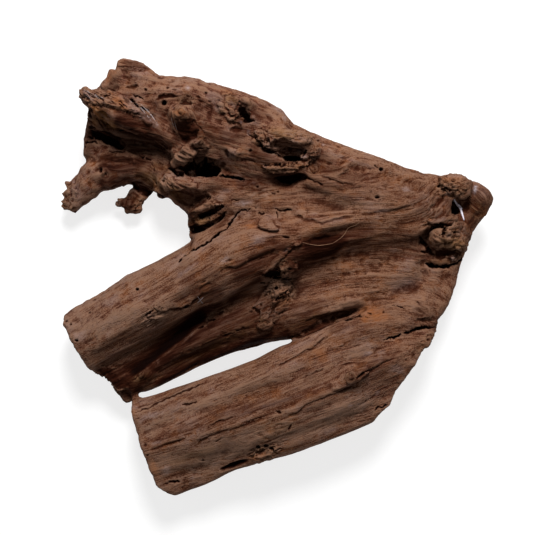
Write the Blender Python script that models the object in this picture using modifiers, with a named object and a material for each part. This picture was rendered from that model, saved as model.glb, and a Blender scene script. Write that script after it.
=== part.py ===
# Malaysian driftwood: one gnarled, weathered piece of wood that lies flat.
# It grew as one piece, so it is one solid. Strands of wood run from the knotted end at +X into a
# thick trunk along +Y and two wide arms towards -X and -Y. Each bundle of strands is fused and gets
# ridges along its grain, knobs are set on it, everything is fused into one skin, and then the saw
# cuts, hollows, scoops and slits are taken out.
import math

import bmesh
import bpy
from mathutils import Euler, Matrix, Vector

MM = 0.001

# How the wood is put together, in millimetres
FUSE_VOXEL = 2.0          # cell size that fuses the strands into one skin
BUNDLE_SMOOTH_STEPS = 6   # how far the creases between the strands of a bundle are worn
FUSE_SMOOTH_STEPS = 2     # how far the creases between the bundles are worn
WEAR_SMOOTH_STEPS = 1     # how far the edges of the cuts and hollows are worn
FACES_KEPT = 11000        # triangles left in the solid
REST_WEAR = 1.5           # how much the low points are worn flat where the wood rests
STRAND_STEPS = 6          # pieces of curve between two points of a strand
STRAND_SIDES = 4          # roundness of a strand

# Ridges along the grain, in millimetres
RIDGE_LENGTH = 60
RIDGE_WIDTH = 9
RIDGE_HEIGHT = 5
KNOB_ROUGH_SIZE = 7
KNOB_ROUGH_HEIGHT = 2.5

# Every strand is a run of points (x, y, height, radius) along its middle, in millimetres.
TRUNK_STRANDS = (
    # along the upper edge, from the knotted end to the crest
    ((134, 56, 40, 15), (97, 65, 40, 17), (70, 75, 42, 17), (46, 83, 44, 16), (20, 91, 46, 16),
     (0, 104, 46, 19), (-28, 116, 46, 20), (-54, 127, 46, 19), (-76, 134, 46, 16),
     (-94, 143, 46, 13), (-108, 150, 44, 12), (-118, 151, 42, 11)),
    # across the top of the root crown and along the middle
    ((130, 46, 38, 18), (90, 52, 42, 22), (45, 66, 42, 24), (10, 82, 40, 24), (-25, 98, 42, 24),
     (-60, 112, 42, 22), (-90, 124, 42, 20), (-120, 134, 40, 15)),
    # down the left edge of the root crown
    ((-118, 148, 36, 12), (-127, 138, 36, 11), (-134, 124, 34, 11), (-137, 110, 28, 9),
     (-139, 98, 26, 9), (-142, 88, 24, 8)),
    # along the lower edge, from the leg
    ((40, 44, 38, 24), (0, 50, 36, 25), (-38, 60, 32, 21), (-66, 74, 28, 18), (-92, 83, 25, 17),
     (-118, 88, 23, 15), (-138, 93, 23, 10)),
    # low belly, which carries the crown and the knotted end
    ((-124, 112, 18, 15), (-85, 104, 22, 17), (-45, 90, 26, 19), (0, 74, 27, 19), (50, 56, 29, 18),
     (100, 46, 25, 18), (134, 46, 15, 15)),
)
MIDDLE_ARM_STRANDS = (
    # high upper lobe
    ((-176, -68, 28, 22), (-150, -52, 30, 23), (-110, -28, 33, 27), (-70, -6, 36, 28),
     (-30, 14, 40, 28), (10, 27, 42, 26), (50, 36, 42, 22), (90, 40, 40, 20), (130, 44, 38, 18)),
    # low lower lobe
    ((-150, -103, 22, 14), (-118, -83, 23, 14), (-84, -63, 24, 15), (-52, -47, 25, 16),
     (-18, -35, 26, 18), (22, -27, 29, 20), (60, -10, 30, 20), (105, 8, 30, 18)),
    # floor of the groove between the lobes
    ((-172, -96, 19, 15), (-128, -70, 20, 16), (-96, -48, 21, 14), (-60, -28, 22, 14), (-30, -12, 24, 16),
     (20, 2, 28, 20), (70, 12, 30, 20), (112, 24, 30, 18)),
)
LOWER_ARM_STRANDS = (
    # upper, middle and lower strand
    ((-136, -122, 30, 16), (-100, -108, 32, 16), (-60, -96, 36, 17), (-20, -83, 40, 18),
     (20, -66, 42, 19), (55, -50, 42, 20), (88, -36, 40, 20), (112, -24, 36, 16)),
    ((-136, -150, 28, 21), (-92, -132, 30, 22), (-50, -117, 36, 23), (0, -100, 40, 24),
     (40, -83, 42, 24), (80, -66, 40, 22), (116, -50, 36, 18)),
    ((-124, -172, 22, 14), (-82, -151, 24, 16), (-45, -137, 28, 17), (0, -123, 32, 18),
     (40, -107, 34, 17), (78, -92, 34, 16), (112, -72, 34, 16)),
    # low belly near its end
    ((-118, -134, 18, 15), (-86, -126, 19, 15), (-50, -108, 27, 15)),
)
WEB_STRANDS = (
    # the broad web that joins the knotted end to the lower arm
    ((132, 38, 36, 16), (124, 20, 32, 17), (120, 4, 29, 16), (115, -12, 29, 17), (108, -26, 32, 18),
     (88, -48, 36, 20)),
    ((114, 34, 30, 18), (98, 8, 26, 18), (84, -16, 28, 19), (66, -36, 34, 18)),
    # the crotch between the two arms
    ((24, -38, 24, 12), (50, -28, 26, 14), (86, -14, 28, 16)),
)
ROOT_STRANDS = (
    # the horn and its ridge
    ((-148, 138, 60, 4), (-141, 132, 59, 8), (-129, 125, 55, 11), (-113, 118, 53, 13),
     (-98, 111, 52, 13), (-85, 103, 52, 11), (-73, 96, 50, 8)),
    # the broken leg
    ((-160, 50, 20, 7), (-151, 62, 22, 10), (-142, 73, 24, 12), (-126, 80, 26, 15), (-106, 86, 28, 15)),
    # the hooked stub, and its thin prong
    ((-101, 72, 22, 9), (-106, 63, 20, 6), (-109, 57, 19, 6), (-111, 51, 18, 8)),
    ((-110, 52, 18, 5), (-119, 54, 18, 3)),
    ((-108, 48, 18, 5), (-102, 52, 18, 2)),
    # the peg on the root crown
    ((-64, 105, 46, 11), (-69, 115, 58, 9), (-73, 123, 66, 8)),
    # the crest between the peg and the black hollow
    ((-48, 102, 56, 6), (-58, 101, 60, 7), (-70, 92, 54, 6), (-78, 84, 46, 5)),
    # the lip under the black hollow, and the edge that falls from it
    ((-88, 74, 36, 6), (-79, 71, 44, 9), (-62, 69, 48, 8), (-42, 70, 48, 7)),
    ((-90, 72, 34, 11), (-74, 66, 34, 11), (-61, 50, 30, 9), (-58, 38, 26, 8)),
    # the ribs beside the two flutes
    ((-66, 46, 34, 6), (-54, 52, 42, 6), (-38, 58, 48, 6)),
    ((-66, 36, 30, 4), (-54, 42, 38, 4), (-38, 50, 44, 5)),
    ((-68, 26, 26, 5), (-54, 30, 34, 5), (-34, 42, 46, 6)),
    # the big burl and the ledge under it
    ((-16, 103, 56, 7), (-3, 102, 61, 11), (12, 99, 62, 12), (25, 90, 54, 9)),
    ((-14, 71, 48, 5), (0, 77, 56, 6), (14, 81, 60, 6), (32, 88, 54, 6)),
    # ridges over the root crown
    ((-104, 140, 54, 5), (-84, 132, 60, 5), (-62, 136, 60, 5), (-44, 130, 60, 4)),
    ((-60, 116, 58, 5), (-44, 108, 60, 5), (-26, 102, 60, 5), (-8, 90, 58, 4)),
    # the pale ridge of the middle arm, from the junction to the knotted end
    ((-8, 18, 62, 5), (8, 24, 63, 6), (22, 30, 62, 7), (44, 38, 60, 7), (74, 44, 58, 6), (104, 52, 54, 6)),
    # the lobe at the right of the knotted end
    ((140, 62, 40, 12), (148, 58, 40, 13), (150, 52, 39, 12), (142, 42, 38, 13), (132, 34, 36, 14)),
)

# Knobs are (x, y, height, half sizes along, across and up, turn in degrees), in millimetres.
KNOBS = (
    (-40, 122, 54, 6, 8, 12, 30),       # left rim of the burl with a hollow
    (-27, 126, 58, 10, 5, 10, -20),     # upper rim of it
    (-19, 118, 56, 5, 9, 12, 20),      # right rim of it
    (133, 66, 46, 12, 11, 16, 0),       # rough top knob of the knotted end
    (126, 34, 50, 12, 7, 12, 40),       # rough cluster under it
    (119, 27, 46, 7, 9, 12, 0),
    (133, 26, 44, 9, 9, 12, 0),
    (-31, 91, 57, 10, 5, 7, -20),       # warts between the burls
    (-102, -75, 32, 8, 5, 10, -30),     # oval knot near the end of the middle arm
    (56, -76, 62, 12, 6, 7, 30),        # knot on the lower arm
    (8, 8, 50, 9, 10, 14, 0),           # rough bump below the pale ridge
    (4, -16, 42, 8, 18, 8, -15),        # patch of bark in the crotch
    (-84, -24, 52, 22, 10, 10, 34),     # rough patch on the edge of the groove
)

# Hollows are cut with rounded tools, given like the knobs.
HOLLOWS = (
    (-124, 103, 56, 19, 7, 20, -10),    # deep dark hollow under the horn
    (-98, 98, 58, 18, 6, 14, -14),      # its tail along the crown
    (-58, 83, 56, 13, 6, 22, -8),       # black hollow in the middle of the root crown
    (-34, 77, 60, 12, 2.5, 10, 0),      # slit beside it
    (-60, 93, 70, 8, 5, 12, 30),        # dark side of the peg
    (8, 89, 68, 15, 4, 14, 0),          # dark gap under the big burl
    (8, 69, 62, 15, 4.5, 14, 12),       # dark gap under the ledge
    (-26, 118, 70, 6, 7, 16, -30),      # hollow in the burl
    (-55, 46, 50, 13, 3.5, 14, 28),     # upper flute
    (-57, 37, 46, 12, 3, 13, 30),       # lower flute
    (110, 26, 56, 4, 9, 16, -20),       # dark gap beside the rough cluster
    (126, 9, 50, 13, 2, 8, 0),          # slit below the rough cluster
    (46, -31, 56, 26, 3.5, 20, 15),     # dark gap above the lower arm
    (-98, -88, 30, 36, 1.8, 45, 20),    # narrow end of the slit between the arms
)

# Saw cuts are (x, y, direction of the outward normal in degrees, lean in degrees, width).
SAW_CUTS = (
    (-134, -76, 224, 6, 58),            # end of the middle arm
    (-157, -43, 202, 8, 60),            # its upper corner
    (-101, -130, 198, 5, 90),           # end of the lower arm
    (-84, -164, 240, 5, 40),            # its worn corner
    (98, -75, -35, 4, 130),             # slanting cut at the right of the lower arm
)
SAW_CUT_HEIGHT = 130
SAW_CUT_MIDDLE = 35


def clear_scene():
    for item in list(bpy.data.objects):
        bpy.data.objects.remove(item, do_unlink=True)


def new_collection(name):
    group = bpy.data.collections.new(name)
    bpy.context.scene.collection.children.link(group)
    return group


def move_to(item, group):
    for owner in list(item.users_collection):
        owner.objects.unlink(item)
    group.objects.link(item)


def add_strand(points, group):
    # a round curve that swells and narrows along its points
    curve = bpy.data.curves.new("strand", "CURVE")
    curve.dimensions = "3D"
    curve.bevel_depth = MM
    curve.bevel_resolution = STRAND_SIDES
    curve.resolution_u = STRAND_STEPS
    curve.use_fill_caps = True
    spline = curve.splines.new("BEZIER")
    spline.bezier_points.add(len(points) - 1)
    for knot, (x, y, height, radius) in zip(spline.bezier_points, points):
        knot.co = Vector((x, y, height)) * MM
        knot.radius = radius
        knot.handle_left_type = "AUTO"
        knot.handle_right_type = "AUTO"
    strand = bpy.data.objects.new("strand", curve)
    group.objects.link(strand)
    return strand


def add_blob(name, spec, group):
    # a rounded lump, stretched and turned about the vertical
    x, y, height, along, across, up, turn = spec
    bpy.ops.mesh.primitive_uv_sphere_add(segments=24, ring_count=14, radius=1.0)
    blob = bpy.context.object
    blob.name = name
    move_to(blob, group)
    size = Matrix.Diagonal((along * MM, across * MM, up * MM, 1.0))
    turned = Matrix.Rotation(math.radians(turn), 4, "Z")
    blob.data.transform(Matrix.Translation(Vector((x, y, height)) * MM) @ turned @ size)
    return blob


def add_saw_cut(spec, group):
    # a big block whose inner face is the sawn face
    x, y, direction, lean, width = spec
    bpy.ops.mesh.primitive_cube_add(size=1.0)
    block = bpy.context.object
    block.name = "saw_cut"
    move_to(block, group)
    size = Matrix.Diagonal((width * MM, width * MM, SAW_CUT_HEIGHT * MM, 1.0))
    outward = Matrix.Translation((width * MM / 2, 0.0, 0.0))
    turned = Euler((0.0, math.radians(lean), math.radians(direction))).to_matrix().to_4x4()
    place = Matrix.Translation(Vector((x, y, SAW_CUT_MIDDLE)) * MM)
    block.data.transform(place @ turned @ outward @ size)
    return block


def add_floor_block(top, group):
    # a wide block under the wood, whose top wears the low points flat
    bpy.ops.mesh.primitive_cube_add(size=1.0)
    block = bpy.context.object
    block.name = "floor_block"
    move_to(block, group)
    block.data.transform(Matrix.Translation((0.0, 0.0, top - 0.5)))
    return block


def evaluated_mesh(item):
    depsgraph = bpy.context.evaluated_depsgraph_get()
    mesh = bpy.data.meshes.new_from_object(item.evaluated_get(depsgraph), depsgraph=depsgraph)
    mesh.transform(item.matrix_world)
    return mesh


def join_meshes(name, items, group):
    # all the loose pieces in one mesh, each still a closed body of its own
    whole = bmesh.new()
    for item in items:
        mesh = evaluated_mesh(item)
        piece = bmesh.new()
        piece.from_mesh(mesh)
        bmesh.ops.remove_doubles(piece, verts=piece.verts, dist=0.00001)
        bmesh.ops.recalc_face_normals(piece, faces=piece.faces)
        piece.to_mesh(mesh)
        piece.free()
        whole.from_mesh(mesh)
        bpy.data.meshes.remove(mesh)
        bpy.data.objects.remove(item, do_unlink=True)
    mesh = bpy.data.meshes.new(name)
    whole.to_mesh(mesh)
    whole.free()
    joined = bpy.data.objects.new(name, mesh)
    group.objects.link(joined)
    return joined


def apply_modifiers(item):
    mesh = evaluated_mesh(item)
    item.modifiers.clear()
    item.data = mesh
    bpy.context.view_layer.update()


def fuse(item, steps):
    # everything that overlaps becomes one skin, and its creases are worn
    remesh = item.modifiers.new("fuse", "REMESH")
    remesh.mode = "VOXEL"
    remesh.voxel_size = FUSE_VOXEL * MM
    wear = item.modifiers.new("wear", "SMOOTH")
    wear.factor = 0.5
    wear.iterations = steps
    apply_modifiers(item)


def roughen(item, length, width, height, direction):
    # ridges of one length and width that run in one direction
    guide = bpy.data.objects.new("grain_direction", None)
    bpy.context.scene.collection.objects.link(guide)
    guide.scale = (length * MM, width * MM, width * MM)
    guide.rotation_euler.z = math.radians(direction)
    bpy.context.view_layer.update()
    relief = bpy.data.textures.new("relief", "CLOUDS")
    relief.noise_scale = 1.0
    relief.noise_depth = 1
    ridges = item.modifiers.new("ridges", "DISPLACE")
    ridges.texture = relief
    ridges.texture_coords = "OBJECT"
    ridges.texture_coords_object = guide
    ridges.strength = height * MM
    ridges.mid_level = 0.5
    apply_modifiers(item)
    bpy.data.objects.remove(guide, do_unlink=True)


def add_bundle(strands, direction, group):
    bundle = join_meshes("bundle", [add_strand(points, group) for points in strands], group)
    fuse(bundle, BUNDLE_SMOOTH_STEPS)
    roughen(bundle, RIDGE_LENGTH, RIDGE_WIDTH, RIDGE_HEIGHT, direction)
    return bundle


def add_knobs(group):
    pieces = [add_strand(points, group) for points in ROOT_STRANDS]
    pieces += [add_blob("knob", spec, group) for spec in KNOBS]
    knobs = join_meshes("knobs", pieces, group)
    fuse(knobs, 1)
    roughen(knobs, KNOB_ROUGH_SIZE, KNOB_ROUGH_SIZE, KNOB_ROUGH_HEIGHT, 0)
    return knobs


def add_hollows(group):
    hollows = [add_blob("hollow", spec, group) for spec in HOLLOWS]
    for hollow in hollows:
        roughen(hollow, KNOB_ROUGH_SIZE, KNOB_ROUGH_SIZE, KNOB_ROUGH_HEIGHT, 0)
    return hollows


def cut_away(item, cutters):
    for cutter in cutters:
        cutter.hide_render = True
        cutter.display_type = "WIRE"
        cut = item.modifiers.new(cutter.name, "BOOLEAN")
        cut.operation = "DIFFERENCE"
        cut.solver = "EXACT"
        cut.object = cutter
    apply_modifiers(item)


def keep_faces(item, count):
    item.data.calc_loop_triangles()
    thin = item.modifiers.new("thin", "DECIMATE")
    thin.ratio = count / len(item.data.loop_triangles)
    thin.use_collapse_triangulate = True
    apply_modifiers(item)


def centre_on_origin(item):
    # the middle of the wood's outline goes over the origin, and its low points on the floor
    low = Vector([min(corner[axis] for corner in item.bound_box) for axis in range(3)])
    high = Vector([max(corner[axis] for corner in item.bound_box) for axis in range(3)])
    middle = (low + high) / 2
    item.data.transform(Matrix.Translation((-middle.x, -middle.y, -low.z)))


def driftwood_material():
    material = bpy.data.materials.new("weathered_wood")
    material.use_nodes = True
    shader = material.node_tree.nodes["Principled BSDF"]
    shader.inputs["Base Color"].default_value = (0.105, 0.045, 0.026, 1.0)
    shader.inputs["Roughness"].default_value = 0.82
    shader.inputs["Metallic"].default_value = 0.0
    material.diffuse_color = (0.105, 0.045, 0.026, 1.0)
    return material


def build():
    clear_scene()
    parts = new_collection("malaysian_driftwood")
    tools = new_collection("cutters")
    pieces = [
        add_bundle(TRUNK_STRANDS, -20, parts),
        add_bundle(MIDDLE_ARM_STRANDS, 26, parts),
        add_bundle(LOWER_ARM_STRANDS, 24, parts),
        add_bundle(WEB_STRANDS, 70, parts),
        add_knobs(parts),
    ]
    wood = join_meshes("driftwood", pieces, parts)
    fuse(wood, FUSE_SMOOTH_STEPS)
    cut_away(wood, add_hollows(tools) + [add_saw_cut(spec, tools) for spec in SAW_CUTS])
    fuse(wood, WEAR_SMOOTH_STEPS)
    keep_faces(wood, FACES_KEPT)
    lowest = min(vertex.co.z for vertex in wood.data.vertices)
    cut_away(wood, [add_floor_block(lowest + REST_WEAR * MM, tools)])
    centre_on_origin(wood)
    wood.data.materials.clear()
    wood.data.materials.append(driftwood_material())
    wood.data.shade_smooth()
    wood.data.set_sharp_from_angle(angle=math.radians(50))


build()
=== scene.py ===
import math

import bpy
import numpy as np
from mathutils import Euler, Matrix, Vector, noise


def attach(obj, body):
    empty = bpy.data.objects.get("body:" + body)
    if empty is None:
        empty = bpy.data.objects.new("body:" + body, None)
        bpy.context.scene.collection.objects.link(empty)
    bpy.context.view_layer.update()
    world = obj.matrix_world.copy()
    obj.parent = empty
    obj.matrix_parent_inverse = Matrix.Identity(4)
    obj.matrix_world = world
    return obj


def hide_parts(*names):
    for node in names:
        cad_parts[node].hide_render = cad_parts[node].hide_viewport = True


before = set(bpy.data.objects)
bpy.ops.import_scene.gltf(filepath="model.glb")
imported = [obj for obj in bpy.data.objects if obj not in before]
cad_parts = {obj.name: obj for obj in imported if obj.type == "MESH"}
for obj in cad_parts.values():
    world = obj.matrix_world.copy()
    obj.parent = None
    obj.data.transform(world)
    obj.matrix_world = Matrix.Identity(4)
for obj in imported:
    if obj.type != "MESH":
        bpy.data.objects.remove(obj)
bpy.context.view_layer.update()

millimetre = 0.001

view = {
    "imageWidth": 533,
    "imageHeight": 535,
    "pixelSize": 0.00075,      # metres of wood across one pixel, at the wood's middle height
    "originPixel": (277, 277),  # the pixel over the frame's origin
    "middleHeight": 0.045,
    "cameraHeight": 1.4,
    "sensor": 36.0,
}
cameraX = (view["imageWidth"] / 2 - view["originPixel"][0]) * view["pixelSize"]
cameraY = (view["originPixel"][1] - view["imageHeight"] / 2) * view["pixelSize"]
pixelsAtOneMetre = (view["cameraHeight"] - view["middleHeight"]) / view["pixelSize"]


def toPicture(points):
    # where points of the wood show in the picture, in pixels
    reach = pixelsAtOneMetre / (view["cameraHeight"] - points[:, 2])
    across = view["imageWidth"] / 2 + (points[:, 0] - cameraX) * reach
    down = view["imageHeight"] / 2 - (points[:, 1] - cameraY) * reach
    return across, down


def fromPicture(x, y, height):
    # the point of the wood at one pixel and one height
    reach = (view["cameraHeight"] - height) / pixelsAtOneMetre
    return Vector((cameraX + (x - view["imageWidth"] / 2) * reach,
                   cameraY + (view["imageHeight"] / 2 - y) * reach, height))


def smoothStep(value, low, high):
    part = np.clip((value - low) / (high - low), 0.0, 1.0)
    return part * part * (3.0 - 2.0 * part)


# The noise grid is turned, so that its rows never line up with the fibres
noiseTurn = np.array(Euler((0.7, 0.5, 0.9)).to_matrix())


def noiseAt(points, size, seed):
    # smooth noise from about -1 to 1; size is its length along each axis, in metres
    spots = (points / np.asarray(size, float)) @ noiseTurn + 7.31 * seed
    return np.array([noise.noise(spot) for spot in spots.tolist()]) * 1.6


def readPoints(mesh):
    flat = np.empty(len(mesh.vertices) * 3, np.float32)
    mesh.vertices.foreach_get("co", flat)
    return flat.reshape(-1, 3).astype(float)


def readNormals(mesh):
    flat = np.empty(len(mesh.vertices) * 3, np.float32)
    mesh.vertex_normals.foreach_get("vector", flat)
    return flat.reshape(-1, 3).astype(float)


def writePoints(mesh, points):
    mesh.vertices.foreach_set("co", points.astype(np.float32).ravel())
    mesh.update()


def writeValues(mesh, name, values):
    layer = mesh.attributes.new(name, "FLOAT", "POINT")
    layer.data.foreach_set("value", np.asarray(values, np.float32))


def selectOnly(item):
    for other in list(bpy.context.selected_objects):
        other.select_set(False)
    item.select_set(True)
    bpy.context.view_layer.objects.active = item


def applyModifiers(item):
    selectOnly(item)
    for modifier in list(item.modifiers):
        bpy.ops.object.modifier_apply(modifier=modifier.name)


# Grain: which way the wood's fibres run, read off the wood
grain = {
    "cell": 0.003,
    "reach": 14.0,             # pixels over which one slope gives way to the next
    "wander": 0.0012,          # how far the lines wave from side to side
    # pixel across, pixel down, slope of the grain in degrees
    "slopes": (
        (130, 72, -8), (92, 97, -32), (115, 100, -22), (150, 84, -10), (150, 118, -32),
        (105, 118, -40), (110, 138, -14), (100, 155, -4), (130, 152, -4), (95, 175, 40),
        (72, 198, 48), (125, 170, 20), (150, 175, -35), (168, 190, -45), (133, 203, 70),
        (185, 85, -8), (190, 130, -45), (205, 118, -42), (225, 100, -25), (228, 140, -38),
        (205, 150, -4), (205, 167, -5), (200, 185, -2), (190, 205, 5), (205, 218, 32),
        (225, 195, 0), (250, 120, -30), (262, 145, -40), (290, 135, -20), (285, 158, -15),
        (285, 170, 4), (320, 150, -18), (312, 180, -28), (345, 165, 10), (340, 185, -6),
        (370, 160, -22), (375, 190, -5), (330, 205, 5), (290, 200, 5), (260, 195, 6),
        (400, 175, -12), (405, 195, 18), (425, 190, 38), (385, 212, 8), (350, 220, 7),
        (415, 215, 30), (435, 200, 55), (455, 185, 20), (480, 200, -60), (460, 235, 60),
        (425, 240, 65), (440, 262, -4), (320, 235, 12), (350, 245, 5), (385, 240, -2),
        (410, 250, -25), (430, 275, -40), (445, 290, -55), (300, 260, 18), (330, 265, 10),
        (365, 265, 2), (395, 275, -16), (330, 290, 12), (370, 290, 4), (405, 300, -14),
        (305, 305, 18), (340, 300, 14), (250, 232, 24), (225, 245, 33), (200, 262, 33),
        (170, 275, 31), (130, 300, 31), (90, 325, 31), (250, 265, 26), (220, 285, 30),
        (180, 310, 30), (140, 335, 30), (105, 355, 32), (270, 300, 38), (240, 310, 27),
        (200, 335, 27), (165, 360, 28), (135, 385, 30), (240, 345, 20), (420, 325, 8),
        (425, 305, -25), (395, 330, 16), (360, 340, 28), (330, 345, 28), (400, 355, 18),
        (375, 375, 24), (345, 365, 26), (310, 375, 24), (270, 380, 22), (230, 395, 20),
        (190, 405, 20), (150, 420, 17), (160, 455, 18), (200, 440, 20), (240, 430, 20),
        (290, 415, 20), (330, 405, 19), (365, 395, 19), (180, 478, 15), (230, 460, 20),
        (300, 445, 18), (360, 420, 18),
    ),
    # knots that the grain flows round: pixel across, pixel down, radius in pixels
    "knots": (
        (181, 112, 6), (201, 143, 5), (314, 168, 6), (102, 171, 4), (287, 268, 5), (350, 377, 6),
        (138, 376, 5), (418, 184, 4), (359, 170, 6), (381, 169, 2.5), (377, 197, 2.5), (372, 314, 4),
    ),
}


def solveSpread(wanted, weight):
    # the smooth field whose change from cell to cell comes nearest to what is wanted
    linkX = np.minimum(weight[1:, :], weight[:-1, :])
    linkY = np.minimum(weight[:, 1:], weight[:, :-1])

    def gather(changeX, changeY):
        total = np.zeros_like(weight)
        total[1:, :] += linkX * changeX
        total[:-1, :] -= linkX * changeX
        total[:, 1:] += linkY * changeY
        total[:, :-1] -= linkY * changeY
        return total

    def spread(field):
        return gather(field[1:, :] - field[:-1, :], field[:, 1:] - field[:, :-1]) + 1e-6 * field

    stepX, stepY = wanted
    field = np.zeros_like(weight)
    left = gather((stepX[1:, :] + stepX[:-1, :]) / 2, (stepY[:, 1:] + stepY[:, :-1]) / 2)
    heading = left.copy()
    size = float((left * left).sum())
    for turn in range(600):
        moved = spread(heading)
        length = size / float((heading * moved).sum())
        field += length * heading
        left -= length * moved
        newSize = float((left * left).sum())
        if newSize < 1e-16:
            break
        heading = left + newSize / size * heading
        size = newSize
    return field


def grainField(points):
    # lays a grid over the wood and works out coordinates along and across its fibres
    cell = grain["cell"]
    low = points[:, :2].min(0) - 3 * cell
    count = np.ceil((points[:, :2].max(0) + 3 * cell - low) / cell).astype(int) + 1
    sides = [low[axis] + cell * np.arange(count[axis]) for axis in (0, 1)]
    gridX, gridY = np.meshgrid(*sides, indexing="ij")
    spots = np.stack([gridX.ravel(), gridY.ravel(), np.full(gridX.size, view["middleHeight"])], 1)
    across, down = toPicture(spots)
    total = np.zeros(len(spots), complex)
    for x, y, slope in grain["slopes"]:
        near = 1.0 / ((across - x) ** 2 + (down - y) ** 2 + grain["reach"] ** 2) ** 2
        total += near * np.exp(2j * math.radians(slope))
    slopes = (np.angle(total) / 2).reshape(gridX.shape)
    cells = np.floor((points[:, :2] - low) / cell).astype(int)
    weight = np.full(gridX.shape, 0.02)
    weight[cells[:, 0], cells[:, 1]] = 1.0
    weight[cells[:, 0] + 1, cells[:, 1]] = 1.0
    weight[cells[:, 0], cells[:, 1] + 1] = 1.0
    along = solveSpread((cell * np.cos(slopes), cell * np.sin(slopes)), weight)
    side = solveSpread((-cell * np.sin(slopes), cell * np.cos(slopes)), weight)
    return low, along, side


def sampleGrid(grid, low, points):
    place = (points[:, :2] - low) / grain["cell"]
    start = np.clip(np.floor(place).astype(int), 0, np.array(grid.shape) - 2)
    part = place - start
    i, j = start[:, 0], start[:, 1]
    a, b = part[:, 0], part[:, 1]
    lower = grid[i, j] * (1 - a) + grid[i + 1, j] * a
    upper = grid[i, j + 1] * (1 - a) + grid[i + 1, j + 1] * a
    return lower * (1 - b) + upper * b


def grainAt(points, field):
    # along the fibres, across them, and height, in metres; the lines part round each knot
    low, alongGrid, sideGrid = field
    along = sampleGrid(alongGrid, low, points)
    side = sampleGrid(sideGrid, low, points)
    for x, y, radius in grain["knots"]:
        middle = np.array([fromPicture(x, y, 0.06)])
        size = radius * view["pixelSize"]
        du = along - sampleGrid(alongGrid, low, middle)[0]
        sideMiddle = sampleGrid(sideGrid, low, middle)[0]
        dv = side - sideMiddle
        distance = np.sqrt(du * du + dv * dv) + 1e-9
        fade = smoothStep(-distance, -5 * size, -2 * size)
        outside = dv * (1 - fade * size * size / np.maximum(distance, size) ** 2)
        inside = (size - distance) * 1.2
        side = sideMiddle + np.where(distance > size, outside, inside)
    wave = noiseAt(np.stack([along, side, points[:, 2]], 1), (0.045, 0.02, 0.02), 3)
    return np.stack([along, side + grain["wander"] * wave, points[:, 2]], 1)
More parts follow.
